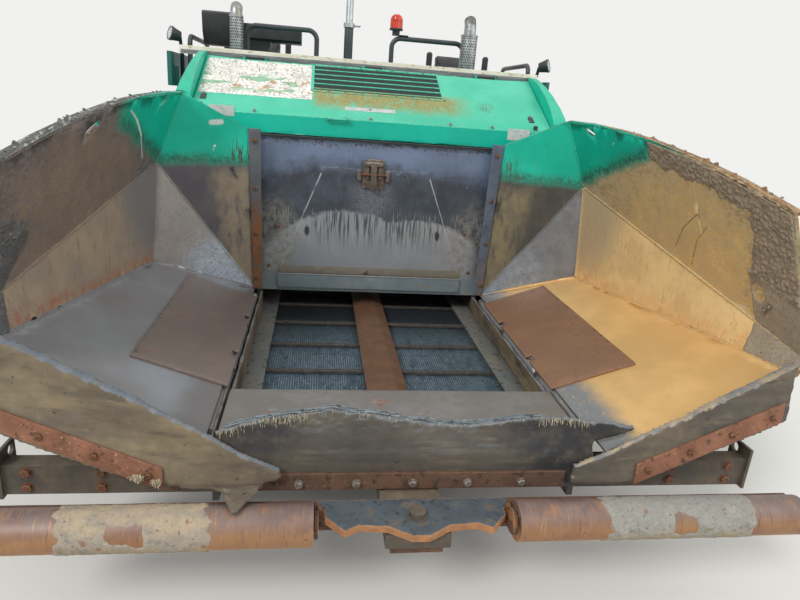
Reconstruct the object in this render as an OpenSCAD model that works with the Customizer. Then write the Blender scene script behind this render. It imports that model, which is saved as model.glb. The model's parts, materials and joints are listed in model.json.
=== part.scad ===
// Tracked asphalt paver with a folding hopper and a sliding screed.
// +Z is up and the hopper is at the front, towards -Y.
// The origin is on the ground below the middle of the machine's bounding box.

/* [Conveyor well] */
// Inside half width of the conveyor well between the side plates
well_half = 705; // [690:1:712]
// Height of the top face of the conveyor floor
floor_z = 445; // [435:1:455]
// Thickness of the chassis side plates
side_t = 25; // [16:1:30]
// Half width of the ridge that covers the inner conveyor chains
guard_half = 99; // [90:1:110]
// Distance between two flight bars of a conveyor
flight_pitch = 350; // [250:10:500]
// Y of the front conveyor shaft
feed_front_y = -2490; // [-2510:5:-2400]
// Y of the rear conveyor shaft
feed_rear_y = 1760; // [1700:5:1765]

/* [Hopper wings] */
// Z of the wing hinge axis
hinge_z = 590; // [588:1:594]
// Slope of the wing floor, rise per run
floor_rise = 0.348; // [0.33:0.002:0.36]
// X of the wing floor's outer front corner
wing_out_x = 1530; // [1500:1:1540]
// Y of the wing's front edge at the outer corner
wing_front_y = -2960; // [-2980:1:-2900]
// Y of the wing's inner rear corner
wing_rear_y = -1160; // [-1175:1:-1155]
// Height of the wing's highest rear corner
wing_top_z = 1780; // [1740:1:1800]
// Drop of the wing's top edge from its rear to its front
wing_drop = 240; // [200:1:260]
// Thickness of the wing plates
wing_t = 14; // [8:1:16]
// Width of the flange that runs outwards along the wing's top edge
flange_w = 50; // [30:1:60]
// Thickness of the rubber flaps and the apron
rubber_t = 20; // [14:1:22]

/* [Push rollers] */
// Y of the push roller axis
roller_y = -3250; // [-3260:1:-3245]
// Z of the push roller axis
roller_z = 470; // [465:1:475]
// Diameter of the push rollers
roller_d = 140; // [120:1:150]
// X of the inner end of a push roller
roller_in = 345; // [340:1:360]
// X of the outer end of a push roller
roller_out = 1424; // [1380:1:1424]
// Diameter of the beam's pivot pin
tow_pin_d = 56; // [40:1:60]

/* [Tracks] */
// X of the inner edge of a track
track_in = 870; // [860:1:890]
// Width of a track
track_w = 400; // [360:1:400]
// Y of the front idler
idler_y = -1600; // [-1620:1:-1560]
// Y of the rear drive sprocket
sprocket_y = 1450; // [1400:1:1460]
// Radius over the pads at the front idler
idler_r = 300; // [280:1:300]
// Radius over the pads at the rear sprocket
sprocket_r = 340; // [320:1:345]
// Number of pads on a track
pad_n = 48; // [40:1:52]
// Thickness of a track pad
pad_t = 32; // [20:1:36]

/* [Engine house] */
// Half width of the house
house_half = 1230; // [1225:1:1240]
// Half width of the hood between its cheeks
hood_half = 1112; // [1090:1:1115]
// Height of the house top
house_z = 2020; // [2000:1:2030]
// Y of the front of the house
house_front_y = -1050; // [-1055:1:-1045]
// Y of the rear edge of the hood slope
hood_rear_y = -450; // [-460:1:-440]
// Y of the rear wall of the house
house_rear_y = 400; // [380:1:420]
// Height where the hood's front band turns into its slope
hood_bend_z = 1728; // [1715:1:1740]
// Height of the lower edge of the hood's front band
hood_low_z = 1580; // [1578:1:1590]
// Number of louvre slots in the hood
louvre_n = 5; // [3:1:6]

/* [Platform] */
// Height of the operators' deck
deck_z = 1350; // [1340:1:1360]
// Half width of the deck
deck_half = 1480; // [1470:1:1485]
// Y of the rear edge of the deck
deck_rear_y = 1900; // [1880:1:1900]
// X of a seat's swivel axis
seat_x = 940; // [920:1:960]
// Y of a seat's swivel axis
seat_y = 1070; // [1050:1:1100]
// Diameter of the handrail tubes
rail_d = 38; // [30:1:42]

/* [Screed] */
// Y of the tow point, where the screed arms are pinned
tow_y = -600; // [-650:1:-560]
// Z of the tow point
tow_z = 670; // [665:1:680]
// Y of the auger axis
auger_y = 2080; // [2070:1:2090]
// Diameter of the augers
auger_d = 380; // [320:1:400]
// Half width of the fixed screed
screed_half = 1270; // [1250:1:1270]
// Y of the front face of the screed
screed_y = 2380; // [2370:1:2390]
// Depth of the fixed screed, front to rear
screed_depth = 400; // [360:1:400]
// Y of the walkway's rear edge
walkway_y = 3356; // [3320:1:3360]

/* [Hidden] */
$fn = 48;

// Paint, steel and rubber colours
teal = "#1fa88f";
steel_worn = "#5b5650";
rust = "#7a4a2c";
dark = "#2c2e30";
rubber_c = "#35322f";
pale = "#cfc9b4";
silver_c = "#a9adad";

// Gap between pieces that are seated on each other
seat_gap = 0.3;
// Gap between pieces that move past each other
clear = 6;

// Turns a piece of the right side into its twin on the left
module left() { mirror([1, 0, 0]) children(); }
module both() { children(); left() children(); }

// Box between two corners
module span(a, b) { translate(a) cube(b - a); }
// Rod between two points
module rod(a, b, d) {
  v = b - a;
  translate(a)
    rotate([0, acos(v.z / norm(v)), atan2(v.y, v.x)])
      cylinder(d = d, h = norm(v));
}
// Rod along X
module xrod(x0, x1, y, z, d) {
  translate([x0, y, z]) rotate([0, 90, 0]) cylinder(d = d, h = x1 - x0);
}
// Rod along Y
module yrod(y0, y1, x, z, d) {
  translate([x, y1, z]) rotate([90, 0, 0]) cylinder(d = d, h = y1 - y0);
}
// Outline in the YZ plane, drawn out along X
module side_extrude(x0, x1) {
  translate([x0, 0, 0]) rotate([90, 0, 90]) linear_extrude(x1 - x0) children();
}
// Outline in the XZ plane, drawn out along Y
module front_extrude(y0, y1) {
  translate([0, y1, 0]) rotate([90, 0, 0]) linear_extrude(y1 - y0) children();
}

function unit(v) = v / norm(v);
function mix(a, b, s) = a + (b - a) * s;

// Chassis
plate_out = well_half + side_t;
chassis_rear = 1885;
chassis_low = 230;
plate_top = hinge_z - 35;
bulkhead_y = -1090;
bulkhead_t = 12;
tunnel_roof_z = 760;
frame_top = deck_z - 90;
cross_y = roller_y + 300;
cross_half = roller_out + 16;
cross_depth = 70;
chassis_front = cross_y + cross_depth;
hinge_x = well_half + 30;
ear_t = 20;
pin_d = 28;
tube_d = 48;
ear_pitch = 560;
ear_n = 4;
ear_y0 = wing_rear_y - 60;
function ear_y(i) = ear_y0 - i * ear_pitch;
// Tongue that carries the push beam
tongue_z = 415;
tongue_t = 50;
// Wing cylinder pins: base on the chassis, tip under the wing floor
cyl_y = -2500;
wing_base = [plate_out + 35, 440];
wing_tip = [hinge_x + 390, 701];
cyl_pin_d = 24;
wing_len = norm(wing_tip - wing_base);
wing_ang = atan2(wing_tip.y - wing_base.y, wing_tip.x - wing_base.x);
// Screed lift cylinder pins in the YZ plane: base on the deck, tip on the arm
lift_x = screed_half - 20;
lift_base = [1950, 1290];
lift_tip = [2330, 690];
lift_pin_d = 28;
lift_len = norm(lift_tip - lift_base);
lift_ang = atan2(lift_tip.y - lift_base.y, lift_tip.x - lift_base.x);
arm_in = screed_half + 55;
arm_out = arm_in + 90;
tow_pin_x = arm_out + 25;

module chassis() color(dark) {
  difference() {
    union() {
      both() {
        side_extrude(well_half, plate_out)
          polygon([[chassis_front, 300], [chassis_front, plate_top],
            [bulkhead_y + bulkhead_t, plate_top], [bulkhead_y + bulkhead_t, frame_top],
            [chassis_rear - 60, frame_top], [chassis_rear, frame_top - 100],
            [chassis_rear, 380], [chassis_rear - 180, chassis_low],
            [idler_y, chassis_low]]);
        // Hinge ears and pin of the wing
        for (i = [0 : ear_n - 1]) {
          y = ear_y(i);
          yrod(y - ear_t / 2, y + ear_t / 2, hinge_x, hinge_z, tube_d);
          span([well_half, y - ear_t / 2, plate_top - 20], [hinge_x + 20, y + ear_t / 2, hinge_z]);
        }
        yrod(ear_y(ear_n - 1) - 20, ear_y(0) + 20, hinge_x, hinge_z, pin_d);
        // Base clevis of the wing cylinder
        for (s = [-1, 1]) {
          y = cyl_y + s * 26;
          yrod(y - 6, y + 6, wing_base.x, wing_base.y, 60);
          span([plate_out - 1, y - 6, wing_base.y - 30], [wing_base.x, y + 6, wing_base.y + 30]);
        }
        yrod(cyl_y - 40, cyl_y + 40, wing_base.x, wing_base.y, cyl_pin_d);
        // Outrigger and pin of the tow point
        span([plate_out - 1, tow_y - 70, 640], [arm_in - 30, tow_y + 70, 700]);
        span([arm_in - 42, tow_y - 60, 610], [arm_in - clear, tow_y + 60, 730]);
        xrod(arm_in - 20, tow_pin_x, tow_y, tow_z, 60);
        xrod(arm_out + clear, tow_pin_x, tow_y, tow_z, 90);
      }
      // Cross tubes below the conveyors
      for (y = [-2300, -1250, -100, 1000])
        xrod(-well_half - 1, well_half + 1, y, chassis_low + 40, 70);
      // Tunnel roof and rear beam
      span([-well_half - 1, bulkhead_y + bulkhead_t, tunnel_roof_z],
        [well_half + 1, chassis_rear - 60, tunnel_roof_z + 15]);
      span([-well_half - 1, chassis_rear - 180, frame_top - 120],
        [well_half + 1, chassis_rear - 70, frame_top]);
    }
    // Bores for the conveyor shafts
    for (y = [feed_front_y, feed_rear_y])
      xrod(-plate_out - 1, plate_out + 1, y, feed_z, shaft_d + 2 * seat_gap);
  }
}

// Front cross member, bolted to the side plates, with its end plates and the tongue of the push beam
module cross_member() color(dark) difference() {
  union() {
    span([-cross_half, cross_y, 390], [cross_half, cross_y + cross_depth - seat_gap, 507]);
    both() span([cross_half - 12, cross_y - 15, 380], [cross_half, cross_y + 110, 560]);
    span([-110, roller_y - 60, tongue_z], [110, cross_y + 1, tongue_z + tongue_t]);
    translate([0, roller_y, tongue_z + tongue_t - 1]) cylinder(d = tow_pin_d, h = 56);
    translate([0, roller_y, tongue_z - 45]) cylinder(d = tow_pin_d, h = 46);
  }
  // Tie-down holes in the end plates
  both() xrod(cross_half - 13, cross_half + 1, cross_y + 110 - 34, 560 - 34, 40);
}

// Conveyors
strand_t = 24;
strand_w = 24;
feed_r = 64;
feed_z = floor_z + 1 + strand_t / 2 - feed_r;
shaft_d = 50;
bar_l = 16;
bar_w = 26;
floor_t = 14;
ledge_in = well_half - 110;
ledge_z = floor_z + 40;
chain_in_x = 72;
chain_out_x = well_half - 85;
feed_len = feed_rear_y - feed_front_y;
feed_loop = 2 * feed_len + 2 * PI * feed_r;
flight_n = round(feed_loop / flight_pitch);

// Place on the conveyor loop, from its length along the loop: y, z and turn
function on_feed(s) =
  s < feed_len ? [feed_front_y + s, feed_z + feed_r, 0]
  : s < feed_len + PI * feed_r
    ? let (a = (s - feed_len) / feed_r * 180 / PI)
      [feed_rear_y + feed_r * sin(a), feed_z + feed_r * cos(a), -a]
  : s < 2 * feed_len + PI * feed_r
    ? [feed_rear_y - (s - feed_len - PI * feed_r), feed_z - feed_r, 180]
  : let (a = (s - 2 * feed_len - PI * feed_r) / feed_r * 180 / PI)
    [feed_front_y - feed_r * sin(a), feed_z - feed_r * cos(a), 180 - a];

module loop_outline(r) {
  translate([feed_front_y, feed_z - r]) square([feed_len, 2 * r]);
  for (y = [feed_front_y, feed_rear_y]) translate([y, feed_z]) circle(r);
}

module conveyor_chains() color("#3f464b") both() {
  for (x = [chain_in_x, chain_out_x])
    side_extrude(x - strand_w / 2, x + strand_w / 2) difference() {
      loop_outline(feed_r + strand_t / 2);
      loop_outline(feed_r - strand_t / 2);
    }
  for (i = [0 : flight_n - 1]) {
    p = on_feed((i + 0.3) * feed_loop / flight_n);
    translate([chain_in_x, p.x, p.y]) rotate([p.z, 0, 0])
      translate([0, -bar_w / 2, -bar_l / 2]) cube([chain_out_x - chain_in_x, bar_w, bar_l]);
  }
}

module conveyor_shafts() color(silver_c)
  for (y = [feed_front_y, feed_rear_y]) {
    xrod(-plate_out, plate_out, y, feed_z, shaft_d);
    both() for (x = [chain_in_x, chain_out_x])
      xrod(x - 10, x + 10, y, feed_z, 2 * (feed_r - strand_t / 2 - seat_gap));
  }

module conveyor_floor() color("#4e5054") {
  span([-well_half, feed_front_y + feed_r, floor_z - floor_t], [well_half, feed_rear_y - feed_r, floor_z]);
  both() {
    span([well_half - 10, feed_front_y + 10, floor_z - 1], [well_half, feed_rear_y - 10, ledge_z]);
    span([ledge_in, feed_front_y - 68, ledge_z - 10], [well_half, feed_rear_y - 10, ledge_z]);
  }
}

module centre_guard() color(rust) front_extrude(feed_front_y - 68, feed_rear_y - 10)
  polygon([[-15, floor_z + seat_gap], [15, floor_z + seat_gap], [15, ledge_z - 10],
    [guard_half, ledge_z - 10], [guard_half, ledge_z + 6], [42, ledge_z + 27],
    [-42, ledge_z + 27], [-guard_half, ledge_z + 6], [-guard_half, ledge_z - 10],
    [-15, ledge_z - 10]]);

// Hopper front: plate, apron and clamp bar
plate_front_y = -3035;
plate_rear_y = feed_front_y - 70;
front_z = 618;
front_half = well_half - 5;
lip_t = 14;

module front_plate() color(rust) {
  span([-front_half, plate_front_y, front_z - 18], [front_half, plate_rear_y, front_z]);
  span([-front_half, plate_front_y, 505], [front_half, plate_front_y + lip_t, front_z - 1]);
  span([-front_half, plate_rear_y - 14, ledge_z + 34], [front_half, plate_rear_y, front_z - 1]);
  both() span([front_half - 16, plate_front_y, 510], [well_half, chassis_front + 60, front_z - 22]);
  both() span([front_half - 16, plate_front_y + 1, front_z - 40], [front_half, plate_rear_y - 1, front_z - 1]);
}

apron_y = plate_front_y - seat_gap;
apron_half = well_half - 15;
apron_low = 474;
// Sections of the apron: share of its half width, height of the top edge, lean of the top edge
apron_sections = [[-1, 690, 20], [-0.78, 732, 36], [-0.42, 765, 50], [-0.18, 746, 44], [0.14, 712, 40],
  [0.32, 708, 40], [0.62, 736, 40], [0.85, 742, 30], [1, 728, 16]];
module apron() color(rubber_c) {
  n = len(apron_sections);
  // Each section runs along the front face and back along the rear face
  points = [for (s = apron_sections)
    each let (bend = front_z + 8)
      let (x = s[0] * apron_half)
      [[x, apron_y, apron_low], [x, apron_y, bend],
        [x, apron_y + s[2], s[1] + 3], [x, apron_y - rubber_t + s[2], s[1]],
        [x, apron_y - rubber_t, bend - 30], [x, apron_y - rubber_t, apron_low]]];
  loft(points, 6, n);
}

// Closed loft through n sections of k points each, which turn by the right-hand rule
// about the direction in which the sections follow each other
module loft(points, k, n) {
  ends = [[for (i = [0 : k - 1]) i], [for (i = [k - 1 : -1 : 0]) (n - 1) * k + i]];
  sides = [for (j = [0 : n - 2]) for (i = [0 : k - 1])
    each [[j * k + i, (j + 1) * k + i, (j + 1) * k + (i + 1) % k],
      [j * k + i, (j + 1) * k + (i + 1) % k, j * k + (i + 1) % k]]];
  polyhedron(points = points, faces = concat(ends, sides));
}

module apron_bar() color(rust)
  span([100 - apron_half, apron_y - rubber_t - seat_gap - 14, apron_low + 1],
    [apron_half - 100, apron_y - rubber_t - seat_gap, apron_low + 68]);

// Bulkhead with its trapezoid hatch
module bulkhead() color("#54616b") {
  span([-well_half - 45, bulkhead_y, 600], [well_half + 45, bulkhead_y + bulkhead_t, 1562]);
  front_extrude(bulkhead_y - 8, bulkhead_y + 1)
    polygon([[-600, 720], [600, 720], [330, 1400], [-330, 1400]]);
  span([-600, bulkhead_y - 14, 622], [600, bulkhead_y + 1, 712]);
}
module hatch_latch() color(dark) {
  y = bulkhead_y - 8 - seat_gap;
  span([-85, y - 16, 1290], [45, y, 1462]);
  span([-70, y - 32, 1350], [-50, y - 15, 1440]);
  span([10, y - 32, 1350], [30, y - 15, 1440]);
  xrod(-78, 38, y - 22, 1372, 18);
}

// Wings: corner names and the plate normals that meet there
// The upper side panel is one plane, from points measured on the wing
side_n = unit([0.6004, 0.0498, 0.2449]);
side_d = side_n * [1255, -1340, 1400];
function floor_at(x) = hinge_z + 35 + floor_rise * (x - hinge_x);
wf0 = [hinge_x, plate_front_y - rubber_t - clear - 5, hinge_z + 35];
wf1 = [wing_out_x, wing_front_y, floor_at(wing_out_x)];
wf2 = [1300, -1340, floor_at(1300)];
wf3 = [hinge_x, wing_rear_y, hinge_z + 35];
wc1 = [side_x(wing_front_y, 956), wing_front_y, 956];
wc2 = [side_x(-1340, 1400), -1340, 1400];
wt2 = [side_x(-1340, wing_top_z), -1340, wing_top_z];
wt3 = [hinge_x + 30, wing_rear_y - 8, 1600];
function side_x(y, z) = (side_d - side_n.y * y - side_n.z * z) / side_n.x;
function top_z(y) = wing_top_z - wing_drop * pow(abs(y + 1340) / (-1340 - wing_front_y), 2.2);
arc_n = 7;
top_arc = [for (i = [0 : arc_n - 1])
  let (y = mix(wing_front_y, -1340, i / (arc_n - 1)), z = top_z(y)) [side_x(y, z), y, z]];
floor_n = unit([floor_rise, 0, -1]);
lower_n = unit(cross(wf2 - wc1, wc2 - wf1));
rear_n = unit(cross(wt2 - wt3, wc2 - wt3));
rear_low_n = unit(cross(wc2 - wf3, wf2 - wf3));

// Step from the inner skin to the outer skin where one, two or three plates meet
function skin_step(n) =
  len(n) == 1 ? wing_t * n[0]
  : len(n) == 2 ? wing_t * (n[0] + n[1]) / (1 + n[0] * n[1])
  : wing_t * (cross(n[1], n[2]) + cross(n[2], n[0]) + cross(n[0], n[1])) / (n[0] * cross(n[1], n[2]));

module wing_shell() {
  // Columns: corner of the inner skin, normals of the plates that meet there
  corners = concat([
    [wf0, [floor_n]], [wf1, [floor_n, lower_n]], [wf2, [floor_n, lower_n, rear_low_n]],
    [wf3, [floor_n, rear_low_n]], [wc2, [side_n, lower_n, rear_n]], [wt3, [rear_n]]],
    [for (i = [0 : arc_n - 1])
      [top_arc[i], i == arc_n - 1 ? [side_n, rear_n] : [side_n]]],
    [[wc1, [side_n, lower_n]]]);
  k = len(corners);
  inner = [for (c = corners) c[0]];
  outer = [for (c = corners) c[0] + skin_step(c[1])];
  a0 = 6;
  a1 = a0 + arc_n - 1;
  c1 = k - 1;
  skin = concat([[0, 1, 2], [0, 2, 3], [1, c1, 4], [1, 4, 2], [3, 2, 4], [3, 4, 5], [5, 4, a1]],
    [[c1, a0, 4]], [for (i = [a0 : a1 - 1]) [i, i + 1, 4]]);
  rim = concat([[0, 1], [1, c1], [c1, a0]], [for (i = [a0 : a1 - 1]) [i, i + 1]],
    [[a1, 5], [5, 3], [3, 0]]);
  polyhedron(points = concat(inner, outer),
    faces = concat([for (f = skin) [f[2], f[1], f[0]]], [for (f = skin) f + [k, k, k]],
      [for (e = rim) each [[e[0], e[1], e[1] + k], [e[0], e[1] + k, e[0] + k]]]));
}

// Flange along the top edge of the side panel
module wing_flange() {
  out = unit([side_n.x, side_n.y, 0]);
  loft([for (p = top_arc) each
    [p, p + flange_w * out, p + flange_w * out - [0, 0, 12], p - [0, 0, 12] + 4 * out]], 4, arc_n);
}

// Rib across the outside of the wing at one Y
function edge_at(a, b, y) = mix(a, b, (y - a.y) / (b.y - a.y));
module wing_rib(y, t, in_x, depth) {
  e = edge_at(wf1, wf2, y);
  c = edge_at(wc1, wc2, y);
  zt = top_z(y) - 6;
  low = [floor_rise, -1] * 7;
  out = [side_n.x, side_n.z] * 8;
  wide = [side_n.x, side_n.z] / norm([side_n.x, side_n.z]) * (flange_w - 6);
  drop = [0.1, -1] * depth;
  front_extrude(y - t / 2, y + t / 2)
    polygon([[in_x, floor_at(in_x)] + low, [e.x, e.z] + low, [c.x, c.z] + out,
      [side_x(y, zt), zt] + out, [side_x(y, zt), zt] + wide, [c.x, c.z] + wide + [6, -10],
      [e.x + 40, e.z - 25], [e.x, e.z] + drop, [in_x + 30, floor_at(in_x + 30)] + drop]);
}

module wing() {
  difference() {
    union() {
      wing_shell();
      wing_flange();
      for (y = [-2780, -2100]) wing_rib(y, 12, hinge_x + 65, 55);
      for (s = [-1, 1]) wing_rib(cyl_y + s * 26, 12, wing_tip.x - 65, 85);
      // Hinge tubes between the ears
      for (i = [0 : ear_n - 2])
        yrod(ear_y(i + 1) + ear_t / 2 + clear, ear_y(i) - ear_t / 2 - clear, hinge_x, hinge_z, tube_d);
      // Front plate that carries the rubber flap
      wing_front();
      yrod(cyl_y - 34, cyl_y + 34, wing_tip.x, wing_tip.y, cyl_pin_d);
    }
    yrod(ear_y(ear_n - 1) - 30, ear_y(0) + 30, hinge_x, hinge_z, pin_d + 2);
    for (i = [0 : ear_n - 1])
      yrod(ear_y(i) - ear_t / 2 - clear, ear_y(i) + ear_t / 2 + clear, hinge_x, hinge_z, tube_d + 12);
    // Nothing of the wing stays over the front plate
    span([600, wf0.y - 60, 400], [hinge_x - 26, 0, hinge_z + 35]);
  }
}
module wing_right() color(steel_worn) wing();
module wing_left() color(steel_worn) left() wing();

// Front edge of the wing floor, and what hangs from it
flap_lean = 35;
function front_edge(s) = [mix(wf0.x, wf1.x, s), mix(wf0.y, wf1.y, max(s, 0)), mix(wf0.z, wf1.z, s)];
// Point on the sloping front plate: share along the edge, height over it, distance in front
function front_pt(s, h, f) = front_edge(s) + [0.1 * h, min(h, 0) / 165 * flap_lean - f, h];
front_plate_t = 10;
module wing_front() {
  // Sections of the plate: share along the edge, height of its bottom
  sections = [[0.02, -84], [0.3, -165], [0.99, -165]];
  loft([for (q = sections) each
    [front_pt(q[0], -4, 0), front_pt(q[0], q[1], 0), front_pt(q[0], q[1], -front_plate_t),
      front_pt(q[0], -8, -front_plate_t)]], 4, len(sections));
}
// Sections of a flap: share along the edge, heights of its bottom and top, distance in front
flap_right = [[-0.16, -72, -6, 0], [0, -116, 4, 0], [0.17, -163, 12, 0], [0.38, -176, 14, 0],
  [0.59, -176, 22, 0], [0.8, -176, 35, 0], [0.985, -172, 50, 0]];
// The left one is taller, and its limp inner end reaches past the apron's bolts
flap_left = [[-0.35, 14, 46, 24], [-0.27, -20, 56, 24], [-0.18, -64, 66, 24], [-0.06, -96, 88, 10],
  [0.05, -127, 100, 0], [0.2, -164, 117, 0], [0.39, -176, 135, 0], [0.59, -176, 155, 0],
  [0.77, -176, 165, 0], [0.9, -176, 120, 0], [0.97, -172, 60, 0]];
module wing_flap(sections) color(rubber_c) {
  loft([for (q = sections)
    let (f = seat_gap + q[3], bend = max(min(0, q[2] - 8), q[1] + 12), b = f + (q[1] > 0 ? 3 : 0))
      each [front_pt(q[0], q[2], f + rubber_t), front_pt(q[0], bend, b + rubber_t),
        front_pt(q[0], q[1], f + rubber_t), front_pt(q[0], q[1], f),
        front_pt(q[0], bend, b), front_pt(q[0], q[2], f)]], 6, len(sections));
}
module wing_flap_right() wing_flap(flap_right);
module wing_flap_left() left() wing_flap(flap_left);

module wing_strips() color(rust) {
  f = rubber_t + 2 * seat_gap;
  loft([for (s = [0.16, 0.5, 0.94]) each
    [front_pt(s, -82, f + 10), front_pt(s, -158, f + 10), front_pt(s, -158, f),
      front_pt(s, -82, f)]], 4, 3);
  // Seal strip on the inner edge of the rear panel
  y = wing_rear_y - 6;
  x = hinge_x;
  loft([[x - 45, y - 12, 628], [x + 7, y - 12, 628], [x + 7, y, 628], [x - 45, y, 628],
    [x - 35, y - 19, 1606], [x + 37, y - 19, 1606], [x + 37, y - 7, 1606], [x - 35, y - 7, 1606]], 4, 2);
}
module wing_strips_right() wing_strips();
module wing_strips_left() left() wing_strips();

module cover_plate() color(rust) {
  a = atan(floor_rise);
  translate([hinge_x, 0, hinge_z + 35]) rotate([0, -a, 0]) difference() {
    span([-22, -2550, seat_gap], [385, -1345, seat_gap + 12]);
    for (y = [-2250, -1750]) span([-30, y, -5], [8, y + 60, 20]);
  }
}
module cover_plate_right() cover_plate();
module cover_plate_left() left() cover_plate();

// Cylinder parts along their own axis, from the base pin
barrel_d = 56;
rod_d = 30;
module barrel(len, d, eye_d, pin, w, bore) difference() {
  union() {
    cylinder(d = d, h = len);
    rotate([90, 0, 0]) cylinder(d = eye_d, h = w, center = true);
    translate([0, 0, len - 24]) cylinder(d = d + 10, h = 24);
  }
  rotate([90, 0, 0]) cylinder(d = pin + 1, h = 2 * w, center = true);
  translate([0, 0, pin + 24]) cylinder(d = bore, h = len);
  for (s = [-1, 1]) translate([0, s * (w / 2 + d), 0]) cube([2 * eye_d, 2 * d, eye_d + 4], center = true);
}
module piston_rod(from, to, d, eye_d, hole, w) difference() {
  union() {
    translate([0, 0, from]) cylinder(d = d, h = to - from);
    translate([0, 0, to]) rotate([90, 0, 0]) cylinder(d = eye_d, h = w, center = true);
  }
  translate([0, 0, to]) rotate([90, 0, 0]) cylinder(d = hole, h = 2 * w, center = true);
}
// Wing cylinders lie in the XZ plane
module at_wing_base() translate([wing_base.x, cyl_y, wing_base.y]) rotate([0, 90 - wing_ang, 0]) children();
module wing_barrel() color(dark) at_wing_base() barrel(290, barrel_d, 58, cyl_pin_d, 30, rod_d + 1);
module wing_rod() color(silver_c) at_wing_base() piston_rod(120, wing_len, rod_d, 66, cyl_pin_d + 18, 28);
module wing_barrel_right() wing_barrel();
module wing_barrel_left() left() wing_barrel();
module wing_rod_right() wing_rod();
module wing_rod_left() left() wing_rod();

// Push beam with its rollers
beam_y0 = roller_y + roller_d / 2 + clear;
beam_y1 = beam_y0 + 12;
beam_top = 500;
bracket_t = 12;
beam_half = roller_out + bracket_t;
module push_beam() color(rust) difference() {
  union() {
    // Tow plate with its waved front edge
    translate([0, 0, beam_top - 26]) linear_extrude(26)
      polygon([[-330, beam_y1], [-330, roller_y + 45], [-308, roller_y + 30], [-308, roller_y - 2],
        [-245, roller_y - 72], [-200, roller_y - 45], [-105, roller_y - 54], [-28, roller_y - 101],
        [28, roller_y - 101], [105, roller_y - 54], [200, roller_y - 45], [245, roller_y - 72],
        [308, roller_y - 2], [308, roller_y + 30], [330, roller_y + 45], [330, beam_y1]]);
    span([-90, roller_y - 45, 384], [90, beam_y1, 409]);
    span([-200, beam_y0, 384], [200, beam_y1, 409]);
    both() {
      // Top plate, web and bottom plate
      translate([0, 0, beam_top - 14]) linear_extrude(14)
        polygon([[329, beam_y0], [beam_half, beam_y0], [beam_half, beam_y1], [329, beam_y1]]);
      span([150, beam_y0, 386], [beam_half, beam_y1, beam_top - 1]);
      // Roller brackets
      for (x = [roller_in - 3 - bracket_t, roller_out + 3]) {
        span([x, roller_y, 425], [x + bracket_t, beam_y1, beam_top - 2]);
        xrod(x, x + bracket_t, roller_y, roller_z, 90);
      }
      xrod(roller_in - 3 - bracket_t, roller_in + 25, roller_y, roller_z, 40);
      xrod(roller_out - 25, roller_out + 3 + bracket_t, roller_y, roller_z, 40);
    }
  }
  translate([0, roller_y, 300]) cylinder(d = tow_pin_d + 2, h = 300);
}
module push_roller() color(rust) difference() {
  union() {
    xrod(roller_in, roller_out, roller_y, roller_z, roller_d);
  }
  xrod(roller_in - 1, roller_in + 30, roller_y, roller_z, 42);
  xrod(roller_out - 30, roller_out + 1, roller_y, roller_z, 42);
}
module push_roller_right() push_roller();
module push_roller_left() left() push_roller();

// Tracks: the loop runs round two circles that stand on the ground
track_flat = sprocket_y - idler_y;
belt_tilt = 2 * atan((sprocket_r - idler_r) / track_flat);
idler_arc = (180 - belt_tilt) * PI / 180 * idler_r;
sprocket_arc = (180 + belt_tilt) * PI / 180 * sprocket_r;
track_loop = 2 * track_flat + idler_arc + sprocket_arc;
// Place on the loop over the pads: point and outward direction
function on_track(s) =
  s < track_flat ? [[idler_y + s, 0], -90]
  : s < track_flat + sprocket_arc
    ? let (a = -90 + (s - track_flat) / sprocket_r * 180 / PI)
      [[sprocket_y, sprocket_r] + sprocket_r * [cos(a), sin(a)], a]
  : s < 2 * track_flat + sprocket_arc
    ? let (a = 90 + belt_tilt, u = s - track_flat - sprocket_arc)
      [[sprocket_y, sprocket_r] + sprocket_r * [cos(a), sin(a)] + u * [cos(a + 90), sin(a + 90)], a]
  : let (a = 90 + belt_tilt + (s - 2 * track_flat - sprocket_arc) / idler_r * 180 / PI)
    [[idler_y, idler_r] + idler_r * [cos(a), sin(a)], a];
function track_pt(s, depth) = let (q = on_track(s)) q[0] - depth * [cos(q[1]), sin(q[1])];
pad_share = 0.8;
belt_t = 26;
link_depth = 50;
pad_edges = [for (i = [0 : pad_n - 1]) for (e = [0, pad_share]) (i + e) * track_loop / pad_n];

module track() color(dark) {
  x1 = track_in + track_w;
  mid = track_in + track_w / 2;
  side_extrude(track_in, x1) difference() {
    polygon([for (i = [0 : pad_n - 1]) each
      let (a = i * track_loop / pad_n, b = (i + pad_share) * track_loop / pad_n)
        [track_pt(a, pad_t), track_pt(a, 0), track_pt(b, 0), track_pt(b, pad_t)]]);
    polygon([for (s = pad_edges) track_pt(s, pad_t + belt_t)]);
  }
  for (x = [mid - 62, mid + 26])
    side_extrude(x, x + 36) difference() {
      polygon([for (s = pad_edges) track_pt(s, pad_t + belt_t - 2)]);
      polygon([for (s = pad_edges) track_pt(s, pad_t + belt_t + link_depth)]);
    }
}
module track_right() track();
module track_left() left() track();

// Everything inside the loop takes its size from it
link_in = pad_t + belt_t + link_depth;
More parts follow.
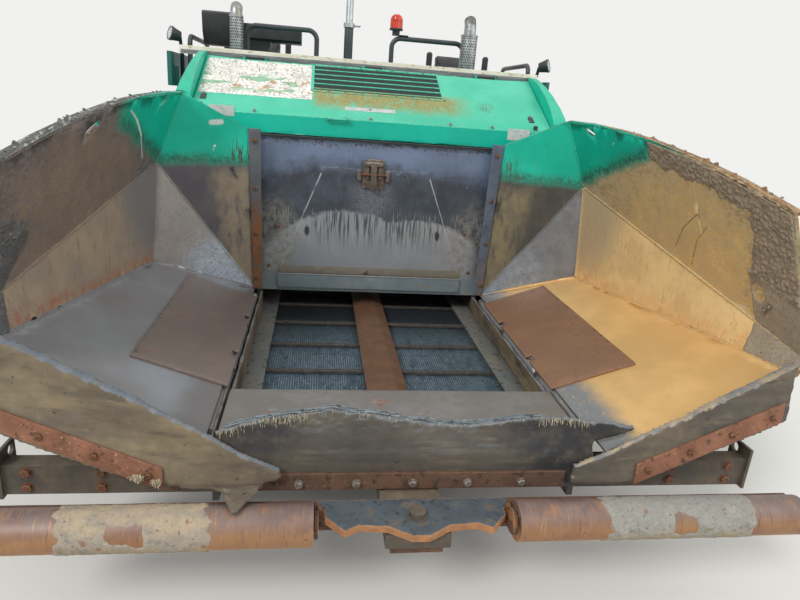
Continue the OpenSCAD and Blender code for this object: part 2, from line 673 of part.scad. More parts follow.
// A wheel rests on the middles of the links, which are straight
function wheel_r(r) = (r - link_in) * cos(pad_share * track_loop / pad_n / r * 90 / PI) - seat_gap;
track_mid = track_in + track_w / 2;
roller_centre_z = link_in + seat_gap + 70;
module track_wheels() color(steel_worn) both() {
  xrod(track_mid - 62, track_mid + 62, idler_y, idler_r, 2 * wheel_r(idler_r));
  xrod(track_mid - 62, track_mid + 62, sprocket_y, sprocket_r, 2 * wheel_r(sprocket_r));
  xrod(plate_out + 0.2, track_mid - 60, sprocket_y, sprocket_r, 260);
  for (i = [0 : 5])
    xrod(track_mid - 60, track_mid + 60, idler_y + 430 + i * 420, roller_centre_z, 140);
  // Axles in the frame's plates
  for (p = frame_axles) xrod(track_mid - 90, track_mid + 90, p.x, p.y, 40);
}
frame_axles = concat([[idler_y, idler_r]], [for (i = [0 : 5]) [idler_y + 430 + i * 420, roller_centre_z]]);
module track_frames() color(dark) both() difference() {
  union() {
    for (x = [track_mid - 78, track_mid + 64]) side_extrude(x, x + 14)
      polygon([[idler_y - 60, idler_r - 60], [idler_y - 60, idler_r + 60], [idler_y + 250, 430],
        [sprocket_y - 420, 460], [sprocket_y - 300, 380], [sprocket_y - 300, 150], [idler_y + 200, 150]]);
    span([track_mid - 79, idler_y + 330, 330], [track_mid + 79, sprocket_y - 400, 420]);
    for (y = [-850, 700]) xrod(plate_out, track_mid - 70, y, 370, 110);
  }
  for (p = frame_axles) xrod(track_mid - 100, track_mid + 100, p.x, p.y, 41);
}

// Engine house
wall = 12;
house_low = 720;
door_y0 = -960;
door_y1 = 160;
door_z0 = 880;
door_z1 = 1500;
door_t = 26;
slope = atan((house_z - hood_bend_z) / (hood_rear_y - house_front_y - 40));
cheek_r = 900;

// Side outline of the house: vertical front, rounded brow, flat top
// 1 makes a round cheek, 2 a straight one
cheek_bend = 1.5;
// Outline of the house seen from the front: its sides lean in over the shoulder
shoulder_z = 1640;
crown_half = hood_half + 34;
module house_front(inset)
  front_extrude(house_front_y - 20, house_rear_y + 20)
    let (a = house_half - inset, b = crown_half - inset, h = house_z + 60)
      polygon([[-a, house_low - 20], [-a, shoulder_z], [-b, h], [b, h], [a, shoulder_z], [a, house_low - 20]]);
module house_side(top) {
  polygon(concat([[house_front_y, house_low], [house_front_y, hood_low_z]],
    [for (i = [0 : 6]) let (a = 15 * i)
      [hood_rear_y - 20 - (hood_rear_y - 20 - house_front_y) * pow(cos(a), cheek_bend),
        hood_bend_z + 20 + (top - hood_bend_z - 20) * pow(sin(a), cheek_bend)]],
    [[house_rear_y, top], [house_rear_y, house_low]]));
}
module engine_house() color(teal) difference() {
  union() {
    intersection() {
      house_front(0);
      union() {
        difference() {
          side_extrude(-house_half, house_half) house_side(house_z);
          house_front(wall);
        }
        both() {
          // Raised cheek beside the hood
          side_extrude(hood_half + clear, house_half) difference() {
            house_side(house_z + 25);
            translate([-4000, 0]) square([9000, hood_low_z]);
            translate([hood_rear_y + 20, 0]) square([9000, 9000]);
          }
          span([plate_out, house_front_y, house_low], [house_half, house_rear_y, house_low + wall]);
          span([752, house_front_y, house_low], [house_half, house_front_y + wall, hood_low_z - clear]);
        }
        span([-house_half, hood_rear_y + 26, house_z - wall], [house_half, house_rear_y, house_z]);
        span([-house_half, house_rear_y - wall, deck_z + 2], [house_half, house_rear_y, house_z]);
        // Sill above the bulkhead, behind the hood's front band
        span([-house_half, house_front_y + 16, 1540], [house_half, house_front_y + 46, hood_low_z - 6]);
        // Hinge bar of the hood
        span([-house_half, hood_rear_y + 26, house_z - 60], [house_half, hood_rear_y + 38, house_z]);
      }
    }
    // Lugs and pins of the hood
    for (x = hood_knuckles) {
      xrod(x - 82, x + 82, hood_hinge.x, hood_hinge.y, 8);
      for (u = [x - 78, x + 66]) span([u, hood_hinge.x - 8, house_z - 8], [u + 12, hood_hinge.x + 28, house_z + 12]);
    }
    both() door_pins();
  }
  both() span([house_half - 60, door_y0 - 6, door_z0 - 6], [house_half + 1, door_y1 + 6, door_z1 + 6]);
}

// Hinge pins of a side door, and the knuckles that turn on them
knuckle_z = [door_z0 + 80, door_z1 - 140];
door_hinge = [house_half + 16, door_y0 - 20];
module door_pins() for (z = knuckle_z) {
  translate([door_hinge.x, door_hinge.y, z - 14]) cylinder(d = 12, h = 88);
  span([house_half - 2, door_hinge.y - 10, z - 14], [door_hinge.x + 6, door_hinge.y + 10, z - 6]);
  span([house_half - 2, door_hinge.y - 10, z + 66], [door_hinge.x + 6, door_hinge.y + 10, z + 74]);
}
module side_door() color(teal) difference() {
  union() {
    span([house_half - door_t, door_y0, door_z0], [house_half + 4, door_y1, door_z1]);
    for (z = knuckle_z) {
      translate([door_hinge.x, door_hinge.y, z]) cylinder(d = 24, h = 60);
      span([house_half + 6, door_hinge.y, z], [door_hinge.x + 4, door_y0 + 60, z + 60]);
      span([house_half + 2, door_y0 + 6, z], [house_half + 8, door_y0 + 60, z + 60]);
    }
  }
  for (z = knuckle_z) translate([door_hinge.x, door_hinge.y, z - 1]) cylinder(d = 13, h = 62);
  span([house_half - door_t - 1, door_y0 + 30, door_z0 + 30], [house_half - 4, door_y1 - 30, door_z1 - 30]);
}
module side_door_right() side_door();
module side_door_left() left() side_door();

// Hood: front band, slope with louvres, lift handle
hood_hinge = [hood_rear_y, house_z + 4];
hood_t = 14;
hood_knuckles = [-800, 0, 800];
louvre_x = [-404, 436];
louvre_z = [1857, 2008];
function slope_z(y) = hood_bend_z + (y - house_front_y - 40) * tan(slope);
module hood() color(teal) difference() {
  union() {
    side_extrude(-hood_half, hood_half)
      polygon([[house_front_y, hood_low_z], [house_front_y, hood_bend_z - 40],
        [house_front_y + 40, hood_bend_z], [hood_rear_y, house_z], [hood_rear_y, house_z - hood_t],
        [house_front_y + 46, hood_bend_z - 12], [house_front_y + hood_t, hood_bend_z - 46],
        [house_front_y + hood_t, hood_low_z]]);
    // Louvre blades on a raised frame
    for (i = [0 : louvre_n]) {
      z = mix(louvre_z[0], louvre_z[1], i / louvre_n);
      y = house_front_y + 40 + (z - hood_bend_z) / tan(slope);
      translate([louvre_x[0], y, z]) rotate([slope - 12, 0, 0])
        translate([0, -4, -4]) cube([louvre_x[1] - louvre_x[0], 26, 8]);
    }
    // Handle
    for (x = [-317, -191]) span([x, house_front_y - 26, 1678], [x + 8, house_front_y + 1, 1692]);
    xrod(-317, -183, house_front_y - 22, 1685, 12);
    // Hinge knuckles
    for (x = hood_knuckles) xrod(x - 60, x + 60, hood_hinge.x, hood_hinge.y, 16);
  }
  for (x = hood_knuckles) {
    xrod(x - 61, x + 61, hood_hinge.x, hood_hinge.y, 9);
    for (u = [x - 84, x + 60]) span([u, hood_hinge.x - 16, house_z - 40], [u + 24, hood_hinge.x + 10, house_z + 30]);
  }
}

module cowl_strip() color(pale)
  span([-crown_half - 155, hood_rear_y + 40, house_z + seat_gap],
    [crown_half + 45, hood_rear_y + 75, house_z + 52]);

module engine() color("#4a4a48")
  span([-hood_half + 762, house_front_y + 250, tunnel_roof_z + 15 + seat_gap],
    [hood_half - 762, house_rear_y - 200, house_z - 320]);

// Platform
module deck() color(dark) {
  span([-deck_half, house_rear_y, deck_z - 20], [deck_half, deck_rear_y, deck_z]);
  both() {
    // Seat posts
    translate([seat_x, seat_y, deck_z - 1]) cylinder(d = 110, h = 180);
    translate([seat_x, seat_y, deck_z + 178]) cylinder(d = 50, h = 60);
    // Clevis of the screed lift cylinder
    for (s = [-1, 1]) {
      x = lift_x + s * 26;
      xrod(x - 6, x + 6, lift_base.x, lift_base.y, 70);
      span([x - 6, deck_rear_y - 120, deck_z - 80], [x + 6, lift_base.x, deck_z - 10]);
    }
    xrod(lift_x - 40, lift_x + 40, lift_base.x, lift_base.y, lift_pin_d);
    // Steps at the rear
    for (z = [800, 1070]) span([760, deck_rear_y - 30, z], [1180, deck_rear_y + 140, z + 20]);
    for (x = [760, 1168]) span([x, deck_rear_y - 30, 790], [x + 12, deck_rear_y + 90, deck_z - 10]);
  }
}
module side_tanks() color(teal) both() difference() {
  span([plate_out + seat_gap, house_rear_y + 20, house_low + 20], [house_half, deck_rear_y - 120, deck_z - 20 - seat_gap]);
  span([plate_out, deck_rear_y - 260, house_low], [house_half + 1, deck_rear_y, house_low + 150]);
}
module side_panels() color("#1d5c58") both() {
  span([deck_half + 20, house_rear_y - 150, deck_z + 460], [deck_half + 50, house_rear_y + 850, deck_z + 710]);
  for (y = [house_rear_y + 50, house_rear_y + 750]) {
    span([deck_half + 4, y - 20, deck_z - 20], [deck_half + 21, y + 20, deck_z + 610]);
    span([deck_half + seat_gap, y - 20, deck_z - 20], [deck_half + 10, y + 20, deck_z]);
  }
}

module seat() color(dark) translate([seat_x, seat_y, 0]) difference() {
  union() {
    translate([0, 0, deck_z + 181]) cylinder(d = 160, h = 50);
    span([-200, -200, deck_z + 225], [200, 220, deck_z + 260]);
    span([-240, -240, deck_z + 258], [240, 230, deck_z + 370]);
    translate([0, 215, deck_z + 300]) rotate([-8, 0, 0]) span([-210, -60, 0], [210, 60, 640]);
    for (x = [-275, 275]) {
      span([x - 26, 150, deck_z + 430], [x + 26, 210, deck_z + 940]);
      span([min(0, sign(x)) * 280 + max(0, sign(x)) * 180, 165, deck_z + 440],
        [min(0, sign(x)) * 180 + max(0, sign(x)) * 280, 200, deck_z + 500]);
    }
  }
  translate([0, 0, deck_z + 170]) cylinder(d = 51, h = 70);
}
module seat_right() seat();
module seat_left() left() seat();

// Console on a cross rail
rail_y = 700;
rail_z = 2000;
rail_half = deck_half - 130;
module console_rail() color(dark) {
  span([-rail_half, rail_y - 30, rail_z], [rail_half, rail_y + 30, rail_z + 60]);
  both() span([rail_half - 60, rail_y - 30, deck_z + seat_gap], [rail_half, rail_y + 30, rail_z + 1]);
}
module console() color("#1d1e20") {
  // Carriage on the rail
  difference() {
    span([-900, rail_y - 60, rail_z - 30], [-620, rail_y + 60, rail_z + 100]);
    span([-901, rail_y - 30.5, rail_z - 0.5], [-619, rail_y + 30.5, rail_z + 60.5]);
    span([-901, rail_y - 24, rail_z - 31], [-619, rail_y + 24, rail_z + 30]);
  }
  span([-800, rail_y - 40, rail_z + 99], [-720, rail_y + 60, rail_z + 160]);
  // Wide box with a deeper part behind its knobs, and the box that tilts on the arm
  translate([-765, rail_y, rail_z + 150]) {
    side_extrude(-235, 235) polygon([[-40, 66], [-62, 84], [-70, 190], [140, 172], [150, 66]]);
    side_extrude(-235, -20) polygon([[-20, -8], [-40, 67], [150, 67], [136, -8]]);
  }
  translate([-1170, rail_y, rail_z + 190])
    side_extrude(-150, 150)
      polygon([[-50, -36], [-112, 60], [-130, 200], [-96, 216], [130, 190], [120, -36]]);
  span([-1100, rail_y - 20, rail_z + 120], [-780, rail_y + 40, rail_z + 160]);
}

// Handrail bent from one tube: two legs, two bends and a top
module bent_rail(w, h, r) {
  cylinder(d = rail_d, h = h - r);
  translate([w, 0, 0]) cylinder(d = rail_d, h = h - r);
  translate([r, 0, h - r]) rotate([90, 0, 0]) rotate([0, 0, 90]) rotate_extrude(angle = 90) translate([r, 0]) circle(d = rail_d);
  translate([w - r, 0, h - r]) rotate([90, 0, 0]) rotate_extrude(angle = 90) translate([r, 0]) circle(d = rail_d);
  translate([r, 0, h]) rotate([0, 90, 0]) cylinder(d = rail_d, h = w - 2 * r);
}
// Columns: x, y and z of the first foot, turn about Z, width, height
front_rail_h = 300;
rails = [
  [200, house_rear_y - 50, house_z, 0, 590, front_rail_h],
  [-940, house_rear_y - 50, house_z, 0, 540, front_rail_h],
  [90 - deck_half, house_rear_y + 30, deck_z, 90, 800, 860],
  [deck_half - 90, house_rear_y + 30, deck_z, 90, 800, 860],
  [-1150, deck_rear_y - 60, deck_z, 0, 700, 820],
  [450, deck_rear_y - 60, deck_z, 0, 700, 820]];
module handrails() color(dark)
  for (q = rails)
    translate([q[0], q[1], q[2] + seat_gap]) rotate([0, 0, q[3]]) bent_rail(q[4], q[5] - rail_d / 2, 70);

// Quarter-like bend that starts straight up at the origin and turns towards +Y
module elbow(bend_r, angle, d)
  translate([0, bend_r, 0]) rotate([90, 0, 90]) rotate([0, 0, 180 - angle])
    rotate_extrude(angle = angle) translate([bend_r, 0]) circle(d = d);
module stacks() color(silver_c) {
  translate([810, house_rear_y - 150, house_z + seat_gap]) {
    cylinder(d = 130, h = 340);
    cylinder(d = 96, h = 390);
    translate([0, 0, 389]) elbow(80, 50, 92);
  }
  translate([-1010, house_rear_y - 150, house_z + seat_gap]) {
    cylinder(d = 100, h = 330);
    translate([0, 0, 329]) elbow(70, 60, 90);
  }
}
module beacon() color("#d8402a") translate([228, house_rear_y - 50, house_z + front_rail_h + 2 * seat_gap]) {
  span([-30, -25, 0], [100, 25, 6]);
  cylinder(d = 60, h = 42);
  translate([0, 0, 38]) cylinder(d = 106, h = 12);
  translate([0, 0, 49]) cylinder(d = 96, h = 61);
  translate([0, 0, 110]) sphere(d = 96);
}
module mast() color(silver_c) {
  translate([-150, house_rear_y - 70, house_z + seat_gap]) {
    cylinder(d = 70, h = 340);
    translate([0, 0, 339 - seat_gap]) cylinder(d = 56, h = 480);
  }
}
// Work lamps on bent arms at the side of the platform
lamp_at = [deck_half - 40, house_rear_y - 100, 2170];
module work_lamps() color(dark) both() {
  foot_y = house_rear_y + 70;
  rod([deck_half - 20, foot_y, deck_z + seat_gap], [deck_half - 20, foot_y, lamp_at.z - 120], 32);
  rod([deck_half - 20, foot_y, lamp_at.z - 122], lamp_at - [0, -40, 60], 30);
  rod(lamp_at - [0, -40, 62], lamp_at - [0, -6, 0], 26);
  translate(lamp_at) rotate([76, 0, 58]) cylinder(d1 = 74, d2 = 104, h = 72);
}

// Screed augers
auger_z = 420;
auger_in = 130;
auger_out = 1235;
flight_t = 12;
flight_lead = 420;
module auger() color("#5d5a55") difference() {
  auger_screw();
  xrod(auger_in - 1, auger_in + 25, auger_y, auger_z, 41);
  xrod(auger_out - 25, auger_out + 1, auger_y, auger_z, 41);
}
module auger_screw() {
  xrod(auger_in, auger_out, auger_y, auger_z, 80);
  k = 16;
  turns = (auger_out - auger_in - 60) / flight_lead;
  n = floor(turns * k);
  loft([for (i = [0 : n])
    let (a = i * 360 / k, x = auger_in + 20 + i * flight_lead / k)
      each [[x + flight_t, auger_y + 36 * cos(a), auger_z + 36 * sin(a)],
        [x + flight_t, auger_y + auger_d / 2 * cos(a), auger_z + auger_d / 2 * sin(a)],
        [x, auger_y + auger_d / 2 * cos(a), auger_z + auger_d / 2 * sin(a)],
        [x, auger_y + 36 * cos(a), auger_z + 36 * sin(a)]]], 4, n + 1);
}
module auger_right() auger();
module auger_left() left() auger();
module auger_frame() color(dark) difference() {
  union() {
    span([-1250, auger_y - 60, 700], [1250, auger_y + 60, 760]);
    // Gearbox between the augers
    span([-115, auger_y - 110, 330], [115, auger_y + 110, 701]);
    xrod(-115, 115, auger_y, auger_z, 280);
    both() {
      span([auger_out + 6, auger_y - 50, 360], [auger_out + 30, auger_y + 50, 701]);
      xrod(auger_out + 6, auger_out + 30, auger_y, auger_z, 120);
      span([well_half, chassis_rear, 690], [well_half + 60, auger_y - 59, 760]);
      xrod(auger_out - 20, auger_out + 7, auger_y, auger_z, 40);
      xrod(114, 150, auger_y, auger_z, 40);
    }
  }
}

// Tow arms and screed
module tow_arms() color(dark) both() difference() {
  union() {
    side_extrude(arm_in, arm_out)
      polygon([[tow_y - 90, tow_z - 60], [tow_y - 90, tow_z + 60], [tow_y + 120, tow_z + 90],
        [1500, tow_z + 90], [2280, 734], [2390, 700], [2650, 440], [2650, 314], [2420, 324], [1300, tow_z - 60]]);
    span([lift_x + 34, lift_tip.x - 40, lift_tip.y - 40], [arm_in + 1, lift_tip.x + 40, lift_tip.y + 40]);
    xrod(lift_x - 30, lift_x + 40, lift_tip.x, lift_tip.y, lift_pin_d);
  }
  xrod(arm_in - 1, arm_out + 1, tow_y, tow_z, 61);
}
module screed() color("#6a665f") {
  side_extrude(-screed_half, screed_half)
    polygon([[screed_y + 40, 0], [screed_y + screed_depth, 0], [screed_y + screed_depth, 330],
      [screed_y + 80, 330], [screed_y, 240], [screed_y, 60]]);
  both() {
    span([screed_half - 60, screed_y + 90, 312], [arm_in, screed_y + 262, 420]);
    for (x = [540, 1040]) difference() {
      span([x, screed_y + 280, 329], [x + 50, screed_y + 420, 480]);
      xrod(x - 1, x + 51, screed_y + 350, 400, 101);
    }
  }
}
module screed_extension() color("#6a665f") {
  y0 = screed_y + screed_depth + 6;
  side_extrude(12, screed_half)
    polygon([[y0 + 20, 0], [y0 + 340, 0], [y0 + 340, 280], [y0, 280], [y0, 40]]);
  xrod(120, screed_half + 10, screed_y + 350, 400, 100);
  span([screed_half + 8, screed_y + 20, 6], [screed_half + 28, y0 + 360, 300]);
  span([screed_half + 8, screed_y + 290, 280], [screed_half + 28, screed_y + 420, 460]);
  span([screed_half - 4, y0 + 20, 6], [screed_half + 10, y0 + 340, 270]);
  // Walkway on brackets
  span([12, y0 + 339, 250], [screed_half, walkway_y, 280]);
}
module screed_extension_right() screed_extension();
module screed_extension_left() left() screed_extension();

// Lift cylinders lie in the YZ plane
module at_lift_base() translate([lift_x, lift_base.x, lift_base.y]) rotate([0, 0, 90]) rotate([0, 90 - lift_ang, 0]) children();
module lift_barrel() color(dark) at_lift_base() barrel(440, 76, 70, lift_pin_d, 34, 41);
module lift_rod() color(silver_c) at_lift_base() piston_rod(350, lift_len, 40, 84, lift_pin_d + 26, 34);
module lift_barrel_right() lift_barrel();
module lift_barrel_left() left() lift_barrel();
module lift_rod_right() lift_rod();
module lift_rod_left() left() lift_rod();

chassis();
cross_member();
track_left();
track_right();
track_frames();
track_wheels();
conveyor_floor();
centre_guard();
conveyor_chains();
conveyor_shafts();
front_plate();
apron();
apron_bar();
bulkhead();
hatch_latch();
engine_house();
hood();
side_door_left();
side_door_right();
engine();
cowl_strip();
deck();
side_tanks();
side_panels();
seat_left();
seat_right();
console();
console_rail();
handrails();
stacks();
beacon();
mast();
work_lamps();
wing_left();
wing_right();
cover_plate_left();
cover_plate_right();
wing_flap_left();
wing_flap_right();
wing_strips_left();
wing_strips_right();
push_beam();
push_roller_left();
push_roller_right();
auger_frame();
auger_left();
auger_right();
tow_arms();
screed();
screed_extension_left();
screed_extension_right();
wing_barrel_left();
wing_barrel_right();
wing_rod_left();
wing_rod_right();
lift_barrel_left();
lift_barrel_right();
lift_rod_left();
lift_rod_right();
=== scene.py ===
import itertools
import json
import math
import random

import bmesh
import bpy
from mathutils import Matrix, Vector, noise


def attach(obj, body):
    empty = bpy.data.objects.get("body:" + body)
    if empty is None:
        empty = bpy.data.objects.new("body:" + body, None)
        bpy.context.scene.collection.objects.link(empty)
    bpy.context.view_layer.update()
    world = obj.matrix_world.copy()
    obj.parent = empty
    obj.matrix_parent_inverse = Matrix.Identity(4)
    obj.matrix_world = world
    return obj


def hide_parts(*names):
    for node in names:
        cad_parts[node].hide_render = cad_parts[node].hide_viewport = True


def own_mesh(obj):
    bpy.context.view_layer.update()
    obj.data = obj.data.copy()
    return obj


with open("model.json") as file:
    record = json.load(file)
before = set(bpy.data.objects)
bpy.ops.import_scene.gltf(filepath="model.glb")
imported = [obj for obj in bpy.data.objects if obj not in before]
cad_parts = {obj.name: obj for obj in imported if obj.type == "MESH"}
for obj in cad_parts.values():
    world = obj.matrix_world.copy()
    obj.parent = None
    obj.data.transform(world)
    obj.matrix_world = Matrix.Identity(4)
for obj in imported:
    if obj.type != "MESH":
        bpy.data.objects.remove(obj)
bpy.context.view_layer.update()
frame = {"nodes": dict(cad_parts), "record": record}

bl_info = {
    "name": "Asphalt paver dressing",
    "version": (1, 0, 0),
    "blender": (4, 5, 0),
    "location": "View3D > Sidebar > Paver",
    "description": "Finishes and fine shapes for the packed tracked asphalt paver",
    "category": "Object",
}

SIDES = {"left": -1, "right": 1}
BODY_OF = {n: b for b, nodes in frame["record"]["behaviour"]["bodies"].items() for n in nodes}
# Camera solved from the photograph: place in metres, yaw, pitch and roll in degrees, lens in mm
CAMERA_PLACE = (-0.368, -4.942, 1.81)
CAMERA_TURN = (8.53, -17.89, 4.36)
CAMERA_LENS = 27.42
made_finishes = {}


# Colours

def linear(hexa):
    """Linear colour with alpha from an sRGB hex value"""
    parts = [int(hexa[i:i + 2], 16) / 255 for i in (1, 3, 5)]
    return tuple(c / 12.92 if c <= 0.04045 else ((c + 0.055) / 1.055) ** 2.4 for c in parts) + (1.0,)


# Nodes

def add_node(tree, kind, settings=None, links=None):
    """Adds one node, sets its properties, and links its inputs or sets their values"""
    node = tree.nodes.new("ShaderNode" + kind)
    for key, value in (settings or {}).items():
        setattr(node, key, value)
    for key, value in (links or {}).items():
        socket = node.inputs[key]
        if isinstance(value, bpy.types.NodeSocket):
            tree.links.new(value, socket)
        else:
            socket.default_value = value
    return node


class Finish:
    """One material, built in layers from its base coat outwards"""

    def __init__(self, name, colour, rough, metal=0.0):
        self.material = bpy.data.materials.new(name)
        self.material.use_nodes = True
        self.tree = self.material.node_tree
        self.tree.nodes.clear()
        self.place = add_node(self.tree, "TexCoord").outputs["Object"]
        self.seed = 0.0
        self.colour = self.tone(colour)
        self.rough = rough
        self.metal = metal
        self.normal = None

    def math(self, operation, a, b=0.0):
        links = {0: a} if b is None else {0: a, 1: b}
        return add_node(self.tree, "Math", {"operation": operation}, links).outputs[0]

    def ramp(self, value, low, high):
        """0 at low and 1 at high, with a soft turn; high may be below low"""
        if high < low:
            return self.math("SUBTRACT", 1.0, self.ramp(value, high, low))
        settings = {"interpolation_type": "SMOOTHSTEP"}
        links = {"Value": value, "From Min": low, "From Max": high}
        return add_node(self.tree, "MapRange", settings, links).outputs["Result"]

    def grain(self, mm, stretch=(1, 1, 1), turn=(0, 0, 0), detail=3.0):
        """Noise whose patches are about mm across, drawn out along an axis where stretch is small"""
        self.seed += 3.7
        scale = tuple(1000 / mm * s for s in stretch)
        moved = add_node(self.tree, "Mapping", None, {
            "Vector": self.place, "Location": (self.seed, -self.seed, self.seed / 2),
            "Rotation": tuple(math.radians(t) for t in turn), "Scale": scale})
        links = {"Vector": moved.outputs[0], "Scale": 1.0, "Detail": detail, "Roughness": 0.6}
        return add_node(self.tree, "TexNoise", None, links).outputs["Fac"]

    def cloud(self, mm, low, high, **how):
        return self.ramp(self.grain(mm, **how), low, high)

    def wobbled(self, value, wobble, mm):
        if not wobble:
            return value
        wave = self.math("MULTIPLY", self.math("SUBTRACT", self.grain(mm), 0.5), 2 * wobble)
        return self.math("ADD", value, wave)

    def band(self, direction, start, end, wobble=0.0, mm=90):
        """Rises from start to end along a direction, in metres"""
        dot = add_node(self.tree, "VectorMath", {"operation": "DOT_PRODUCT"},
                       {0: self.place, 1: direction}).outputs["Value"]
        return self.ramp(self.wobbled(dot, wobble, mm), start, end)

    def near(self, centre, radius, soft, squash=(1, 1, 1), wobble=0.03, mm=90):
        """1 within radius of a point, falling to 0 over soft metres outside it"""
        away = add_node(self.tree, "VectorMath", {"operation": "SUBTRACT"},
                        {0: self.place, 1: centre}).outputs["Vector"]
        scaled = add_node(self.tree, "VectorMath", {"operation": "MULTIPLY"},
                          {0: away, 1: squash}).outputs["Vector"]
        length = add_node(self.tree, "VectorMath", {"operation": "LENGTH"},
                          {0: scaled}).outputs["Value"]
        return self.ramp(self.wobbled(length, wobble, mm), radius + soft, radius)

    def stroke(self, a, b, width, soft=None, wobble=0.0, mm=30):
        """1 along a line between two points, falling to 0 over soft metres beside it"""
        a, b = Vector(a), Vector(b)
        away = add_node(self.tree, "VectorMath", {"operation": "SUBTRACT"},
                        {0: self.place, 1: tuple(a)}).outputs["Vector"]
        share = add_node(self.tree, "VectorMath", {"operation": "DOT_PRODUCT"},
                         {0: away, 1: tuple((b - a) / (b - a).length_squared)}).outputs["Value"]
        share = add_node(self.tree, "Clamp", None, {"Value": share}).outputs[0]
        foot = add_node(self.tree, "VectorMath", {"operation": "SCALE"},
                        {0: tuple(b - a), "Scale": share}).outputs["Vector"]
        off = add_node(self.tree, "VectorMath", {"operation": "DISTANCE"},
                       {0: away, 1: foot}).outputs["Value"]
        soft = width if soft is None else soft
        return self.ramp(self.wobbled(off, wobble, mm), width + soft, width)

    def lines(self, direction, mm, low, high):
        """Parallel lines that lie mm apart along a direction"""
        dot = add_node(self.tree, "VectorMath", {"operation": "DOT_PRODUCT"},
                       {0: self.place, 1: direction}).outputs["Value"]
        wave = self.math("SINE", self.math("MULTIPLY", dot, 2000 * math.pi / mm), None)
        return self.ramp(wave, low, high)

    def facing(self, direction, low, high):
        """1 where the surface faces a direction"""
        normal = add_node(self.tree, "TexCoord").outputs["Normal"]
        dot = add_node(self.tree, "VectorMath", {"operation": "DOT_PRODUCT"},
                       {0: normal, 1: direction}).outputs["Value"]
        return self.ramp(dot, low, high)

    def edge(self, mm, share=0.06):
        """1 on edges and corners, where a coat rubs through"""
        soft = add_node(self.tree, "Bevel", {"samples": 4}, {"Radius": mm / 1000}).outputs["Normal"]
        hard = add_node(self.tree, "NewGeometry").outputs["Normal"]
        dot = add_node(self.tree, "VectorMath", {"operation": "DOT_PRODUCT"},
                       {0: soft, 1: hard}).outputs["Value"]
        worn = self.ramp(dot, 0.995, 0.995 - share)
        return self.math("MULTIPLY", worn, self.cloud(25, 0.3, 0.62))

    def product(self, *masks):
        made = masks[0]
        for mask in masks[1:]:
            made = self.math("MULTIPLY", made, mask)
        return made

    def outside(self, mask):
        return self.math("SUBTRACT", 1.0, mask)

    def tone(self, colour):
        """A hex value, or two of them and the size in mm of the patches that they vary in"""
        if isinstance(colour, str):
            return linear(colour)
        first, second, mm = colour
        settings = {"data_type": "RGBA"}
        links = {0: self.cloud(mm, 0.35, 0.65), 6: linear(first), 7: linear(second)}
        return add_node(self.tree, "Mix", settings, links).outputs[2]

    def layer(self, mask, colour, rough=None, metal=None):
        """Lays one colour over what is there, where the mask is 1"""
        links = {0: mask, 6: self.colour, 7: self.tone(colour)}
        self.colour = add_node(self.tree, "Mix", {"data_type": "RGBA"}, links).outputs[2]
        if rough is not None:
            self.rough = add_node(self.tree, "Mix", None, {0: mask, 2: self.rough, 3: rough}).outputs[0]
        if metal is not None:
            self.metal = add_node(self.tree, "Mix", None, {0: mask, 2: self.metal, 3: metal}).outputs[0]
        return self

    def relief(self, height, mm):
        """Raises the surface by mm where the height is 1"""
        links = {"Height": height, "Distance": mm / 1000, "Strength": 1.0}
        if self.normal is not None:
            links["Normal"] = self.normal
        self.normal = add_node(self.tree, "Bump", None, links).outputs["Normal"]
        return self

    def done(self, **shader):
        links = {"Base Color": self.colour, "Roughness": self.rough, "Metallic": self.metal}
        if self.normal is not None:
            links["Normal"] = self.normal
        links.update(shader)
        bsdf = add_node(self.tree, "BsdfPrincipled", None, links)
        add_node(self.tree, "OutputMaterial", None, {"Surface": bsdf.outputs[0]})
        return self.material


UP = (0.0, 0.0, 1.0)


# Finishes. Each is named for what the real one is.

def sprayed_enamel(name="sprayed_enamel", colour=("#09a78d", "#10b295", 400), old="#43b394"):
    """Alkyd machine enamel sprayed on plate: even satin coat, chalky and dusty where the sun falls, and
    lighter there with painted sunlight
    """
    f = Finish(name, colour, 0.36)
    # Upward faces lighter and paler: sun-faded enamel, and painted sunlight
    f.layer(f.product(f.facing(UP, 0.35, 0.8), f.cloud(260, 0.2, 0.6)), (old, "#3aa587", 200), 0.55)
    f.layer(f.product(f.facing(UP, 0.3, 0.7), f.cloud(9, 0.64, 0.74)), "#7fae94", 0.75)
    # Dust in vertical runs, on the low parts
    dust = f.product(f.band(UP, 1.15, 0.7, 0.12), f.cloud(60, 0.38, 0.72, stretch=(1, 1, 0.25)))
    f.layer(dust, "#7c7360", 0.85)
    f.layer(f.cloud(14, 0.72, 0.77), "#2f7463", 0.6)
    # Hair scratches of about a millimetre, drawn a little coarser so that they show
    f.layer(f.cloud(5, 0.70, 0.76, stretch=(1, 0.05, 0.3), turn=(20, 0, 0)), "#6fc4aa", 0.5)
    f.layer(f.edge(5), ("#4a4a38", "#8d8f8c", 30), 0.6, 0.2)
    f.relief(f.grain(3.0), 0.12)
    return f.done(**{"Specular IOR Level": 0.25, "Coat Weight": 0.04, "Coat Roughness": 0.3})


